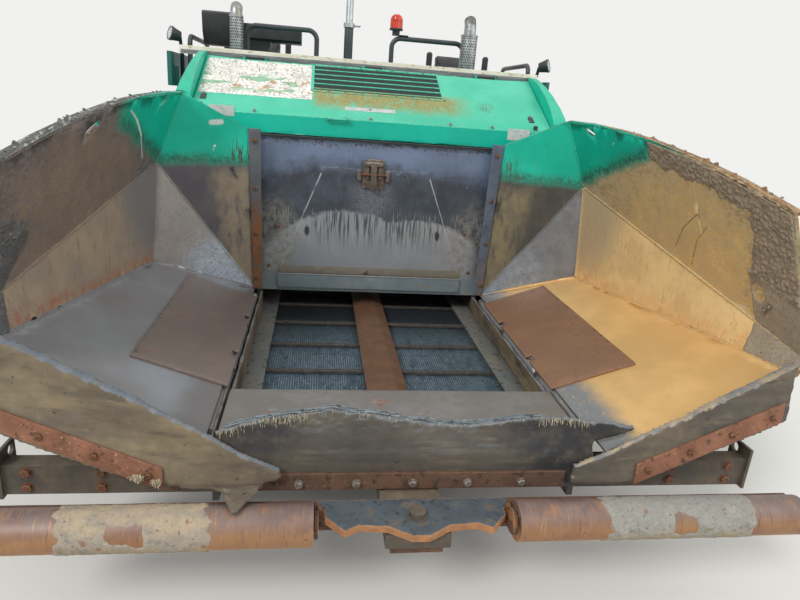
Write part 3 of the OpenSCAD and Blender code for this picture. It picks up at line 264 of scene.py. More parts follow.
def hood_enamel():
    """The same enamel on the hood: brown dust washed down the slope under the louvres, bare stone chips"""
    f = Finish("hood_enamel", ("#08a58d", "#0cae95", 300), 0.34)
    slope = f.facing((0, -0.6, 0.8), 0.75, 0.9)
    # The slope is paler and lighter: faded enamel, with a painted sky reflection
    f.layer(slope, ("#43b092", "#52ba9c", 260), 0.5)
    f.layer(f.product(slope, f.cloud(10, 0.63, 0.72)), "#5d9c80", 0.65)
    # Brown wash below the louvres, in fine specks that run down the slope
    wash = f.product(slope, f.band(UP, 1.885, 1.845), f.band((1.0, 0, 0), -0.43, -0.36, 0.02),
                     f.band((1.0, 0, 0), 0.66, 0.40, 0.03))
    thick = f.band(UP, 1.73, 1.80, 0.03, 160)
    thin = f.product(wash, f.cloud(60, 0.22, 0.58, stretch=(1, 0.5, 0.5)), thick)
    f.layer(thin, ("#7f9468", "#8d8f5c", 90), 0.7)
    f.layer(f.product(wash, thick, f.cloud(16, 0.42, 0.60)), ("#a2874e", "#8b7a46", 40), 0.85)
    f.layer(f.product(wash, f.cloud(5, 0.58, 0.66)), "#6d5c37", 0.85)
    f.layer(f.product(slope, f.cloud(4, 0.715, 0.77)), "#4f5a3e", 0.8)
    # Worn through to primer and steel in small chips
    chips = f.product(f.near((0.72, -0.86, 1.86), 0.05, 0.05, wobble=0.05, mm=20), f.cloud(9, 0.5, 0.56))
    f.layer(chips, "#4b5048", 0.6)
    f.layer(f.cloud(7, 0.745, 0.76), "#46564e", 0.6)
    f.layer(f.cloud(4, 0.71, 0.76, stretch=(0.15, 1, 1)), "#86cdb4", 0.5)
    # Pale teal on the edges is a painted highlight; the dark green is wear
    f.layer(f.edge(5), ("#a9cdbf", "#3f5f4c", 25), 0.5)
    f.relief(f.grain(3.0), 0.1)
    return f.done(**{"Specular IOR Level": 0.25, "Coat Weight": 0.04, "Coat Roughness": 0.35})


# What shows on each wing's skins: the tone of each plate with painted light in it, and single marks
# Right wing: its golden side, kick and floor tones are painted sunlight. Left wing: its bluish greys carry
# painted skylight shade.
WING_TONES_AND_PAINTED_LIGHT = {
    "left": {"side": ("#746d6b", "#807671", 210), "patch": ("#9c866e", "#8d775f", 120), "far": "#555459",
             "kick": ("#998b7c", "#a79680", 150), "kick_rear": "#807d7d",
             "floor": ("#8f9298", "#868486", 320), "floor_in": "#7d7a7a", "foot": ("#8f6550", "#9a6c52", 60),
             "rear": ("#56535a", "#605b5f", 120), "rear_in": ("#867c69", "#918573", 70),
             "low": ("#9d9a98", "#a7a19a", 70), "bright": ("#ccdae8", "#bccad8", 45), "scratch": "#5d5145"},
    "right": {"side": ("#b5a182", "#c4ad86", 210), "patch": ("#dcbb7c", "#cbac72", 120), "far": "#8d7d68",
              "kick": ("#ecca90", "#dcb983", 150), "kick_rear": "#bda682",
              "floor": ("#e2ba7e", "#d2ab73", 320), "floor_in": "#86878a", "foot": ("#cb9962", "#d8ac74", 60),
              "rear": ("#484643", "#52504a", 120), "rear_in": ("#80765b", "#716a56", 70),
              "low": ("#7e848a", "#74777b", 70), "bright": ("#a6b2bd", "#959fa9", 45), "scratch": "#8d7148"}}
# Scratches and chips, as pairs of ends with the right side's x, a half width and a shade
WING_STROKES = {
    "left": [((1.190, -1.994, 1.693), (1.199, -1.875, 1.646), 0.004, "#c9d0c6"),
             ((1.199, -1.875, 1.646), (1.219, -1.746, 1.570), 0.005, "#d5dad2"),
             ((1.219, -1.746, 1.570), (1.259, -1.604, 1.445), 0.004, "#c2c6be"),
             ((0.915, -1.238, 1.634), (0.965, -1.258, 1.628), 0.010, "#c6ccc8"),
             ((0.955, -1.230, 1.500), (0.966, -1.231, 1.470), 0.004, "#cfd6cf"),
             ((0.975, -1.234, 1.500), (0.985, -1.235, 1.468), 0.003, "#cfd6cf"),
             ((0.868, -1.190, 1.370), (0.845, -1.180, 1.320), 0.012, "#2e2a2c"),
             ((0.880, -1.196, 1.345), (0.905, -1.206, 1.352), 0.003, "#b6b9bb"),
             ((1.000, -1.262, 1.640), (1.020, -1.268, 1.610), 0.003, "#b9d6c8")],
    "right": [((1.331, -2.406, 1.431), (1.356, -2.285, 1.344), 0.0022, "#8f774d"),
              ((1.356, -2.285, 1.344), (1.395, -2.194, 1.232), 0.0022, "#8f774d"),
              ((1.354, -2.462, 1.385), (1.379, -2.377, 1.307), 0.0018, "#8f774d"),
              ((1.379, -2.377, 1.307), (1.429, -2.301, 1.170), 0.0022, "#8f774d"),
              ((1.180, -1.800, 1.690), (1.205, -1.700, 1.640), 0.004, "#8fd6bb"),
              ((1.205, -1.700, 1.640), (1.226, -1.640, 1.560), 0.003, "#8fd6bb"),
              ((0.800, -1.150, 1.300), (0.812, -1.158, 1.330), 0.008, "#c3c7c8"),
              ((1.170, -1.560, 1.690), (1.215, -1.570, 1.560), 0.003, "#5fc7a5")]}


def hopper_skin(side):
    """Wear plate scoured by hot mix: asphalt film over bare and rusted steel, old enamel at the top; its
    tones carry painted sunlight on the right wing and painted skylight shade on the left
    """
    s = SIDES[side]
    shade = WING_TONES_AND_PAINTED_LIGHT[side]
    f = Finish("hopper_skin_painted_light_" + side, shade["side"], 0.5, 0.2)
    # Which plate of the wing a point is on
    floor = f.band((-s * 0.329, 0, 0.944), 0.3600, 0.3575)
    rear = f.product(f.band((0, 1.0, 0), -1.3415, -1.3385), f.outside(floor))
    kick = f.product(f.band((0, -0.2741, 1.0), 1.7688, 1.7658), f.outside(rear), f.outside(floor))
    side_plate = f.product(f.outside(rear), f.outside(floor), f.outside(kick))
    # Film on the upper side plate, darker under the flange and at the front, rubbed brown by the load
    f.layer(f.band((0, 0.42, 0.9), 0.12, 0.38, 0.08, 200), (shade["far"], shade["side"][0], 90), 0.55, 0.1)
    f.layer(f.product(side_plate, f.band((0, -1.0, 0), 2.35, 2.75, 0.12, 200)), shade["far"], 0.55, 0.1)
    patch = f.near((s * 1.365, -2.26, 1.28), 0.20, 0.34, (0.6, 0.60, 1.1), 0.12, 160)
    f.layer(f.product(patch, f.cloud(90, 0.10, 0.62), f.cloud(12, 0.05, 0.55)), shade["patch"], 0.45, 0.2)
    f.layer(f.product(side_plate, f.cloud(14, 0.45, 0.62, stretch=(1, 0.5, 1))), shade["side"][1], 0.5)
    # Kick plate, drawn by the load; its golden tone on the right wing is painted sunlight
    f.layer(kick, shade["kick"], 0.45, 0.25)
    corner = f.near((s * 1.27, -1.34, 1.30), 0.25, 0.28, (1, 1, 1), 0.05)
    f.layer(f.product(kick, corner), shade["kick_rear"], 0.5)
    foot = f.product(kick, f.band((-s * 0.348, 0, 1.0), 0.47, 0.39, 0.05, 70), f.cloud(50, 0.36, 0.62))
    f.layer(foot, shade["foot"], 0.7, 0.0)
    for turn, width in ((40, 6), (-30, 5), (62, 8)):
        drawn = f.cloud(width, 0.64, 0.70, stretch=(1, 1, 0.03), turn=(turn, s * 14, 0))
        f.layer(f.product(kick, drawn, f.cloud(180, 0.42, 0.58)), shade["scratch"], 0.5)
    # Rear plates: dark above the crease, rubbed bright below it
    f.layer(rear, shade["rear"], 0.5, 0.25)
    inner = f.product(rear, f.band((-s * 1.0, 0, 0.15), -0.84, -0.70, 0.05), f.band(UP, 1.42, 1.30, 0.05))
    f.layer(f.product(inner, f.cloud(50, 0.25, 0.55, stretch=(1, 1, 0.4))), shade["rear_in"], 0.5, 0.2)
    low = f.product(rear, f.band((-s * 1.49, 0, 1.0), -0.452, -0.478, 0.006, 60))
    f.layer(low, shade["low"], 0.42, 0.4)
    # The brightest polished patch is pale blue: real polish with a painted sky reflection
    bright = f.near((s * 0.86, -1.2, 0.73), 0.12, 0.24, (0.85, 1, 1), 0.06, 70)
    f.layer(f.product(low, bright, f.cloud(35, 0.2, 0.5)), shade["bright"], 0.34, 0.55)
    streaks = f.cloud(6, 0.56, 0.66, stretch=(0.12, 1, 1), turn=(0, s * 28, 0))
    f.layer(f.product(low, streaks), "#8e8b86", 0.36, 0.5)
    # Floor plate, rubbed dull, darker along its inner strip; on the right wing that strip is a painted shadow
    # beside golden painted sunlight
    f.layer(floor, shade["floor"], 0.45, 0.3)
    f.layer(f.product(floor, f.band((-s * 1.0, 0, 0), -0.92, -0.80, 0.05, 120)), shade["floor_in"], 0.42, 0.4)
    f.layer(f.product(floor, f.cloud(7, 0.6, 0.7, stretch=(1, 0.2, 1))), shade["floor"][1], 0.5)
    f.layer(f.product(floor, f.cloud(12, 0.73, 0.755)), "#4d3d31", 0.6)
    # Old enamel at the top rear, its lower edge burnt brown
    on_side = f.product(f.band((0, 0.3, 1.0), 0.975, 1.045, 0.035, 110), f.outside(rear))
    if side == "left":
        on_side = f.product(on_side, f.band((0, 1.0, 0), -2.17, -2.02, 0.07, 90))
    high = f.math("MAXIMUM", on_side, f.product(rear, f.band(UP, 1.365, 1.435, 0.025, 90)))
    f.layer(f.product(high, f.cloud(7, 0.18, 0.40)), ("#08ac90", "#10b69a", 250), 0.40, 0.0)
    burnt = f.math("MAXIMUM", f.product(f.outside(rear), f.band((0, 0.3, 1.0), 1.11, 1.02, 0.03, 70)),
                   f.product(rear, f.band(UP, 1.48, 1.40, 0.025, 60)))
    f.layer(f.product(high, burnt, f.cloud(22, 0.2, 0.6)), ("#2b5a49", "#3b4a3c", 60), 0.55, 0.0)
    runs = f.product(high, rear, f.band((-s * 1.0, 0, 0), -0.90, -0.84, 0.02),
                     f.band(UP, 1.60, 1.45, 0.04, 40))
    f.layer(f.product(runs, f.cloud(9, 0.5, 0.58, stretch=(1, 1, 0.12))), "#4c4032", 0.6, 0.0)
    f.layer(f.product(high, f.cloud(9, 0.735, 0.75)), "#3b3b33", 0.6, 0.0)
    f.layer(f.product(high, f.cloud(5, 0.70, 0.76, stretch=(1, 1, 0.2), turn=(15, 0, 20))), "#6cc9ac", 0.45)
    # Long scrapes of the wing's travel and of shovels
    for turn, tone in ((35, "#857c70"), (-50, "#978e80")):
        mask = f.cloud(6, 0.68, 0.73, stretch=(1, 1, 0.045), turn=(turn, s * 20, 0))
        f.layer(f.product(mask, f.cloud(200, 0.47, 0.6)), tone, 0.35, 0.4)
    for a, b, width, tone in WING_STROKES[side]:
        mark = f.stroke((s * a[0], a[1], a[2]), (s * b[0], b[1], b[2]), width, width, 0.006, 14)
        f.layer(f.product(mark, f.cloud(7, 0.3, 0.5)), tone, 0.4)
    # Spatter of binder
    f.layer(f.cloud(9, 0.72, 0.75), "#2a2521", 0.4, 0.0)
    f.layer(f.edge(6), ("#8f8a82", "#7d5638", 20), 0.4, 0.4)
    f.relief(f.grain(25), 0.6)
    f.relief(f.grain(4), 0.2)
    return f.done(**{"Specular IOR Level": 0.3})


def flange_steel(side):
    """Top flange of a wing: enamel rubbed off to pitted steel, one side rusted, the other chipped white; the
    right flange's warm lighter tones are painted sunlight, the left's dark greys painted shade
    """
    sun = side == "right"
    # The right flange is the sunlit copy, in painted sunlight; the left is the shaded copy, in painted shade
    first, second = ("#7d5f42", "#a1815a") if sun else ("#4f4d4b", "#646260")
    f = Finish("flange_steel_painted_light_" + side, (first, second, 60), 0.65, 0.15)
    teal = f.band((0, 1.0, 0), -2.0, -1.6, 0.15, 70)
    f.layer(f.product(teal, f.cloud(40, 0.34, 0.42)), ("#2a9f85", "#4aa98f", 120), 0.5, 0.0)
    pale = f.cloud(16, 0.56, 0.62, stretch=(1, 0.5, 1))
    f.layer(pale, ("#c3a878" if sun else "#b5b8b8", "#8f8c84", 25), 0.6, 0.2)
    f.layer(f.cloud(35, 0.58, 0.68), "#83502e" if sun else "#3b3835", 0.8, 0.0)
    f.layer(f.edge(6), ("#b29468" if sun else "#a3a5a5", "#6d4a33" if sun else "#55534f", 18), 0.45, 0.4)
    f.relief(f.grain(12), 1.2)
    return f.done()


def scoured_plate(name, first, second, rough=0.45, metal=0.35, rust="#7d4b30", along=(1, 0.12, 1)):
    """Mild steel plate that hot mix slides over: polished dull, drawn scratches, thin rust at the edges"""
    f = Finish(name, (first, second, 220), rough, metal)
    f.layer(f.cloud(70, 0.42, 0.7), second, rough + 0.06)
    f.layer(f.cloud(4, 0.60, 0.70, stretch=along), first, 0.42)
    f.layer(f.cloud(5, 0.66, 0.74, stretch=along), "#8f8375", 0.38, 0.5)
    f.layer(f.cloud(8, 0.72, 0.76), "#3a332d", 0.6, 0.1)
    f.layer(f.cloud(110, 0.60, 0.75), (rust, first, 40), 0.65, 0.1)
    f.layer(f.edge(5), ("#a2968a", rust, 20), 0.42, 0.4)
    f.relief(f.grain(5), 0.2)
    f.relief(f.grain(40), 0.4)
    return f.done()


def soot_plate():
    """Bulkhead plate: mill steel above, its blue tint painted skylight shade, a dome of binder soot, and
    streaked bare steel below it
    """
    # The base's blue tint is painted skylight shade
    f = Finish("soot_plate", ("#63728a", "#6e7e98", 260), 0.42, 0.35)
    f.layer(f.cloud(6, 0.60, 0.70, stretch=(1, 1, 0.1)), "#7886a0", 0.4)
    worn = f.product(f.band(UP, 1.50, 1.545, 0.02), f.cloud(14, 0.55, 0.6))
    f.layer(worn, ("#5b4c40", "#4e5358", 30), 0.7, 0.2)
    # Soot, ragged above, in two lobes beside the latch
    for x, z, r, soft in ((-0.36, 0.62, 0.72, 0.16), (0.46, 0.62, 0.70, 0.16), (0.02, 0.66, 0.72, 0.10)):
        soot = f.near((x, -1.1, z), r, soft, (0.9, 0, 1), 0.07, 60)
        f.layer(f.product(soot, f.cloud(34, 0.16, 0.42)), ("#363b44", "#434b56", 120), 0.5, 0.2)
    dome = f.near((0.02, -1.1, 0.62), 0.74, 0.10, (1, 0, 1), 0.05, 45)
    f.layer(f.product(dome, f.cloud(30, 0.52, 0.7, stretch=(1, 1, 0.4))), "#4a525c", 0.5, 0.3)
    haze = f.near((-0.02, -1.1, 1.22), 0.03, 0.17, (1.0, 0, 0.8), 0.03, 40)
    f.layer(f.product(haze, f.cloud(9, 0.3, 0.6)), "#686c72", 0.5, 0.2)
    # Bare steel, its upper edge notched by runs
    for x, z, r in ((-0.17, 0.50, 0.62), (0.27, 0.44, 0.64), (0.02, 0.20, 0.84)):
        bare = f.near((x, -1.1, z), r, 0.03, (1, 0, 1), 0.03, 26)
        bare = f.product(bare, f.band((-1.0, 0, 0), -0.72, -0.66), f.band((1.0, 0, 0), -0.72, -0.66))
        f.layer(bare, ("#8f959b", "#999da1", 200), 0.36, 0.45)
    runs = f.product(f.band(UP, 0.84, 1.06, 0.03), f.band(UP, 1.17, 1.10, 0.03))
    f.layer(f.product(runs, f.cloud(12, 0.46, 0.60, stretch=(1, 1, 0.05)),
                      f.near((0.03, -1.1, 1.0), 0.36, 0.1, (1, 0, 1))),
            "#4d5054", 0.45, 0.3)
    f.layer(f.product(runs, f.cloud(5, 0.60, 0.66, stretch=(1, 1, 0.04))), "#a3a49d", 0.4, 0.4)
    # Sandy dust on the plate beside the hatch
    for x in (-0.63, 0.66):
        sand = f.near((x, -1.1, 0.90), 0.10, 0.12, (1.0, 0, 0.55), 0.04, 50)
        f.layer(f.product(sand, f.cloud(40, 0.30, 0.70)), ("#7d7c76", "#78756b", 60), 0.6, 0.2)
    lip = f.band(UP, 0.735, 0.70)
    f.layer(lip, ("#77868b", "#829095", 160), 0.42, 0.4)
    foot = f.stroke((-0.58, -1.10, 0.742), (0.58, -1.10, 0.742), 0.022, 0.012, 0.004)
    f.layer(foot, ("#7d7668", "#837e74", 80), 0.5, 0.3)
    f.layer(f.product(lip, f.cloud(50, 0.6, 0.74)), "#84785f", 0.6, 0.2)
    # Worn edges of the hatch, its dark seam, and the spots of its two catches
    for s in (-1, 1):
        f.layer(f.product(f.stroke((s * 0.59, -1.1, 0.75), (s * 0.345, -1.1, 1.36), 0.0045, 0.003),
                          f.cloud(60, 0.3, 0.5)), "#b3b6b8", 0.35, 0.5)
        f.layer(f.stroke((s * 0.600, -1.1, 0.75), (s * 0.357, -1.1, 1.36), 0.003, 0.003), "#25282c", 0.6, 0.1)
        f.layer(f.near((s * 0.42, -1.1, 1.0), 0.010, 0.012, (1, 0, 0.5), 0.006, 12), "#30302f", 0.5, 0.1)
    f.layer(f.stroke((-0.33, -1.1, 1.403), (0.33, -1.1, 1.403), 0.003, 0.004, 0.002), "#2a2d31", 0.6, 0.1)
    scrape = f.stroke((-0.68, -1.1, 1.19), (-0.50, -1.1, 1.16), 0.002, 0.003)
    f.layer(f.product(scrape, f.cloud(20, 0.3, 0.5)), "#a9b3c4", 0.4)
    f.layer(f.cloud(9, 0.735, 0.76), "#1b1d20", 0.4, 0.0)
    f.layer(f.edge(4), ("#aeb2b4", "#7d756a", 20), 0.35, 0.5)
    f.relief(f.grain(30), 0.5)
    f.relief(f.grain(4), 0.15)
    return f.done()


def strip_steel(side):
    """Seal strip of a wing: dark scale above, polished or rusted at the foot"""
    first, second = ("#51545a", "#5d6066") if side == "left" else ("#4c5769", "#586475")
    f = Finish("strip_steel_" + side, (first, second, 90), 0.6, 0.25)
    f.layer(f.cloud(14, 0.56, 0.68, stretch=(1, 1, 0.5)), "#5f5b58" if side == "left" else "#646b78", 0.55)
    if side == "left":
        f.layer(f.band(UP, 1.20, 1.05, 0.06, 80), ("#79492c", "#8a5633", 60), 0.8, 0.05)
        f.layer(f.product(f.band(UP, 1.28, 1.16, 0.05), f.cloud(30, 0.4, 0.6)), "#6b5a48", 0.7)
    else:
        low = f.product(f.band(UP, 0.90, 0.74, 0.06), f.cloud(30, 0.4, 0.6))
        f.layer(low, ("#6d5f52", "#7b5f4a", 40), 0.7, 0.1)
    f.layer(f.cloud(22, 0.66, 0.72), "#2b2a2c", 0.6)
    f.layer(f.edge(4), ("#8b8884", "#6d6660", 20), 0.45, 0.4)
    f.relief(f.grain(8), 0.5)
    return f.done()


def latch_casting():
    """Cast latch under soot and binder: grey-brown, rubbed pale on its upper faces"""
    f = Finish("latch_casting", ("#5c544c", "#6b6157", 35), 0.55, 0.3)
    f.layer(f.cloud(12, 0.55, 0.66), "#38312c", 0.6, 0.1)
    f.layer(f.facing(UP, 0.3, 0.8), "#857a6d", 0.5, 0.3)
    f.layer(f.edge(4), "#948a7e", 0.4, 0.5)
    f.relief(f.grain(6), 0.8)
    return f.done()


def belting(name="fabric_belting", first="#3a332b", second="#4a4137",
            dust=("#6d5f46", "#7d6c4e", 60), top="#56524c",
            along=(0.3, 0.3, 1.3)):
    """Rubber conveyor belting, cut to a flap: dull black under brown dust that lies in level smears"""
    f = Finish(name, (first, second, 130), 0.75)
    f.layer(f.cloud(140, 0.30, 0.75, stretch=along), dust, 0.88)
    f.layer(f.product(f.cloud(34, 0.50, 0.72, stretch=along), f.cloud(160, 0.40, 0.60)), dust[1], 0.9)
    f.layer(f.cloud(70, 0.56, 0.74, stretch=along), first, 0.8)
    f.layer(f.cloud(26, 0.66, 0.74), "#2b2723", 0.6)
    # Pale scuffs and scratches a few millimetres wide
    f.layer(f.cloud(7, 0.70, 0.76, stretch=(0.2, 0.2, 1), turn=(0, 25, 0)), dust[1], 0.9)
    if name.startswith("apron"):
        # Darker at the right end, bare of dust there and in a painted shadow of the right flap, and a painted
        # shadow in the hollow under the overhanging top edge at the left end
        f.layer(f.product(f.band((1.0, 0, 0.5), 0.60, 0.82, 0.05), f.cloud(60, 0.2, 0.6)), "#242425", 0.7)
        painted_hollow_shadow = f.near((-0.52, -3.05, 0.69), 0.03, 0.09, (0.6, 0, 1))
        f.layer(f.product(painted_hollow_shadow, f.cloud(40, 0.2, 0.6)), "#262524", 0.7)
    up = f.facing(UP, 0.25, 0.6)
    if name != "limp_belting":
        f.layer(f.product(up, f.cloud(30, 0.05, 0.35)), (top, "#6f7274", 60), 0.7)
    f.layer(f.product(up, f.cloud(6, 0.60, 0.68)), "#8d8a80", 0.8)
    f.relief(f.grain(30), 1.6)
    f.relief(f.grain(9), 0.7)
    f.relief(f.grain(3), 0.3)
    return f.done()


def sheet_plies():
    """Edge of the apron's sheet: bluish rubber plies, worn to fine parallel ridges"""
    f = Finish("sheet_plies", ("#5f6a70", "#737c80", 60), 0.6)
    f.layer(f.cloud(9, 0.55, 0.66, stretch=(0.2, 1, 1)), "#8a9a9f", 0.7)
    f.layer(f.cloud(22, 0.56, 0.66), "#2f3134", 0.7)
    f.relief(f.grain(4), 0.4)
    return f.done()


def ply_cord():
    """Cotton and nylon plies that show where the belting is worn through: dusty pale fibres"""
    f = Finish("ply_cord", ("#a59a80", "#c7bda0", 12), 0.95)
    f.layer(f.cloud(5, 0.5, 0.6), "#6d634f", 0.95)
    f.relief(f.grain(2), 0.5)
    return f.done()


def bar_rust(name="bar_rust", first="#835943", second="#714a36", dark="#4d3528", light="#a17a5c"):
    """Flat bar with a full coat of orange scale: matt, pitted, darker where oil has run"""
    f = Finish(name, (first, second, 90), 0.82, 0.05)
    f.layer(f.cloud(26, 0.54, 0.68), dark, 0.75, 0.1)
    f.layer(f.cloud(12, 0.60, 0.72), light, 0.9)
    f.layer(f.cloud(5, 0.70, 0.75), "#332319", 0.8)
    f.layer(f.edge(4), ("#8d6a53", light, 15), 0.6, 0.3)
    f.relief(f.grain(6), 0.6)
    f.relief(f.grain(1.8), 0.25)
    return f.done()


def roller_steel():
    """Turned tube rubbed by truck tyres: golden scale below, purple-brown film above, fine rings round"""
    f = Finish("roller_steel", ("#96704a", "#855f43", 160), 0.52, 0.25)
    f.layer(f.band(UP, 0.448, 0.425, 0.012, 120), ("#a87c48", "#96693d", 90), 0.5, 0.3)
    f.layer(f.band(UP, 0.470, 0.515, 0.012, 120), ("#71584e", "#7f6557", 110), 0.5, 0.25)
    f.layer(f.facing(UP, 0.45, 0.95), ("#6b5a58", "#7a6b66", 130), 0.5, 0.25)
    f.layer(f.cloud(60, 0.45, 0.85), ("#9c7450", "#88654c", 60), 0.55)
    # Rings of about a millimetre, drawn at 5 mm so that they show
    f.layer(f.cloud(5, 0.55, 0.70, stretch=(1, 0.06, 0.06)), ("#a37d58", "#8a6c54", 30), 0.45, 0.35)
    f.layer(f.cloud(5, 0.60, 0.72, stretch=(1, 0.06, 0.06)), "#5f4537", 0.5)
    f.layer(f.cloud(22, 0.66, 0.74), "#5d4434", 0.55, 0.2)
    f.layer(f.edge(5), "#9c8871", 0.4, 0.5)
    f.relief(f.grain(5, stretch=(1, 0.25, 0.25)), 0.3)
    return f.done()


def dried_mix(side):
    """Fines and binder caked on the rollers: grey crust with rust grinning through, sandy on top; on the left
    roller the warm sandy top also carries painted sunlight
    """
    sun = side == "left"
    f = Finish("dried_mix_" + side, ("#827c73", "#918a7e", 80) if sun else ("#84847f", "#93928b", 80), 0.92)
    f.layer(f.cloud(30, 0.5, 0.66), ("#726c63", "#7d786f", 30), 0.9)
    # On the left roller the upward faces are lighter and warmer with painted sunlight
    top = f.product(f.facing(UP, -0.1, 0.7), f.cloud(60, 0.2, 0.6))
    f.layer(top, ("#a5947a", "#988b78", 30) if sun else ("#85857f", "#8a877d", 40), 0.95)
    f.layer(f.product(f.facing(UP, 0.2, -0.6), f.cloud(60, 0.3, 0.6)), ("#9c8a68", "#8e8068", 50), 0.92)
    f.layer(f.cloud(12, 0.60, 0.70), "#a2998a", 0.95)
    f.layer(f.cloud(9, 0.60, 0.70), "#5d564e", 0.9)
    f.layer(f.cloud(38, 0.64, 0.70), "#80604d", 0.8)
    f.relief(f.grain(9), 1.8)
    f.relief(f.grain(3), 0.8)
    return f.done()


def asphalt_crust(side):
    """Old mix stuck to the plates: brown-black lumps with grit, dusty on their tops; the right wing's warm
    lighter tones are painted sunlight, the left's dark greys painted shade
    """
    sun = side == "right"
    # The right wing's crust is the sunlit copy, in painted sunlight; the left's is in painted shade
    shade = ("#807263", "#92826d", 60) if sun else ("#4d4b4a", "#5d5b59", 60)
    f = Finish("asphalt_crust_painted_light_" + side, shade, 0.88)
    corner = f.product(f.band((0, -0.25, 1.0), 1.945, 1.915), f.band((0, -1.0, 0), 2.66, 2.70))
    f.layer(corner, ("#8b8070", "#978b77", 90) if sun else ("#4d545c", "#5a5f63", 50), 0.85)
    f.layer(f.cloud(9, 0.50, 0.62), ("#95866c", "#837564", 20) if sun else ("#66635f", "#6f6b64", 20), 0.92)
    f.layer(f.cloud(6, 0.60, 0.68), "#332c26", 0.7)
    f.layer(f.cloud(4, 0.68, 0.74), "#9f8f75" if sun else "#85817a", 0.95)
    f.relief(f.grain(8), 2.0)
    f.relief(f.grain(3), 0.8)
    return f.done()


def tow_plate_film():
    """Top of the tow plate: bluish binder film, wet-looking in places, rust showing at the rim"""
    f = Finish("tow_plate_film", ("#485058", "#545d63", 110), 0.5, 0.25)
    f.layer(f.cloud(25, 0.52, 0.66), ("#33383c", "#5d6163", 20), 0.4, 0.3)
    f.layer(f.cloud(60, 0.56, 0.7), "#625a4f", 0.65, 0.1)
    side = f.facing(UP, 0.8, 0.3)
    f.layer(side, ("#8b6140", "#a17148", 40), 0.7, 0.1)
    f.layer(f.edge(8, 0.05), ("#a9784d", "#b08a66", 20), 0.55, 0.3)
    f.layer(f.cloud(6, 0.68, 0.73), "#7f7868", 0.8, 0.1)
    f.relief(f.grain(8), 0.7)
    return f.done()


def frame_enamel(name="frame_enamel", colour=("#2a2c2e", "#33363a", 200), dust=0.55, film="#5d5344"):
    """Dark grey machine enamel under road dust: satin where rubbed, matt brown where dust lies"""
    f = Finish(name, colour, 0.5)
    lying = f.product(f.facing(UP, 0.3, 0.8), f.cloud(90, 0.7 - 0.6 * dust, 0.8))
    f.layer(lying, ("#6d6352", "#7c705a", 50), 0.9)
    low = f.product(f.band(UP, 1.0, 0.3, 0.1), f.cloud(60, 0.68 - 0.45 * dust, 0.78))
    f.layer(low, (film, "#564d40", 40), 0.9)
    f.layer(f.cloud(18, 0.68, 0.73), ("#6f4129", "#4d3325", 15), 0.8)
    f.layer(f.edge(4), ("#77706a", "#6d4530", 18), 0.5, 0.4)
    f.relief(f.grain(4), 0.2)
    return f.done()


def rail_coat():
    """Powder-coated tube: smooth grey-black with sun bleach on top and a few chips"""
    f = Finish("rail_coat", ("#34383c", "#2a2d30", 150), 0.42)
    f.layer(f.facing(UP, 0.4, 0.9), "#4a4e51", 0.55)
    f.layer(f.cloud(10, 0.68, 0.72), ("#7c5a44", "#6b6f70", 15), 0.6, 0.2)
    f.relief(f.grain(2), 0.08)
    return f.done()


def heat_shield():
    """Aluminised sheet round the exhaust: dull silver, straw and blue heat tints, soot near the mouth"""
    f = Finish("heat_shield", ("#a2a5a5", "#8e9191", 60), 0.38, 0.85)
    f.layer(f.cloud(50, 0.52, 0.66), ("#8c8069", "#777b85", 40), 0.45, 0.7)
    f.layer(f.product(f.band(UP, 2.40, 2.49, 0.02, 30), f.cloud(40, 0.3, 0.6)), "#4b4844", 0.7, 0.2)
    f.layer(f.cloud(8, 0.68, 0.73), "#6a4f3a", 0.7, 0.2)
    f.relief(f.grain(5), 0.2)
    return f.done()


def bare_plate(name, colour, rough, metal, tint="#5b5148"):
    """Plain worked steel part with oil stains and rubbed edges"""
    f = Finish(name, colour, rough, metal)
    f.layer(f.cloud(30, 0.56, 0.68), tint, rough + 0.15, metal * 0.4)
    f.layer(f.cloud(5, 0.64, 0.70, stretch=(1, 0.15, 1)), "#a7a39b", 0.35, 0.7)
    f.layer(f.edge(3), "#b3b0aa", 0.35, 0.7)
    f.relief(f.grain(4), 0.25)
    return f.done()


def zinc():
    """Zinc-plated fastener gone dull: pale grey with brown in the corners"""
    f = Finish("zinc_plate", ("#9c9a92", "#7f7c74", 12), 0.45, 0.7)
    f.layer(f.cloud(9, 0.5, 0.62), "#6d4c36", 0.8, 0.2)
    f.relief(f.grain(1.5), 0.1)
    return f.done()


def rusty_bolt():
    """Hot bolt head under binder: dark brown, rubbed on its flats"""
    f = Finish("rusty_bolt", ("#6d4630", "#54392b", 10), 0.7, 0.3)
    f.layer(f.edge(2), "#a7845f", 0.45, 0.5)
    f.relief(f.grain(2), 0.3)
    return f.done()


def cream_enamel():
    """Faded cream enamel on folded sheet: chalky, rain-streaked, yellow dust along the fold"""
    f = Finish("cream_enamel", ("#c9c5b2", "#d6d3c4", 160), 0.55)
    f.layer(f.cloud(24, 0.55, 0.68, stretch=(0.5, 1, 1)), ("#b4a988", "#a9a595", 30), 0.75)
    f.layer(f.cloud(6, 0.67, 0.72), "#7d7464", 0.8)
    f.layer(f.edge(4), ("#8b8d8a", "#7d6a4c", 20), 0.6)
    f.relief(f.grain(3), 0.1)
    return f.done()


def grey_band():
    """Grey anodised trim under the cream strip: even sheen with drawn lines along its length"""
    f = Finish("anodised_trim", ("#767b7e", "#6a6f72", 120), 0.4, 0.6)
    f.layer(f.cloud(4, 0.55, 0.66, stretch=(0.04, 1, 1)), "#8b9093", 0.4, 0.6)
    f.relief(f.grain(2, stretch=(0.05, 1, 1)), 0.06)
    return f.done()


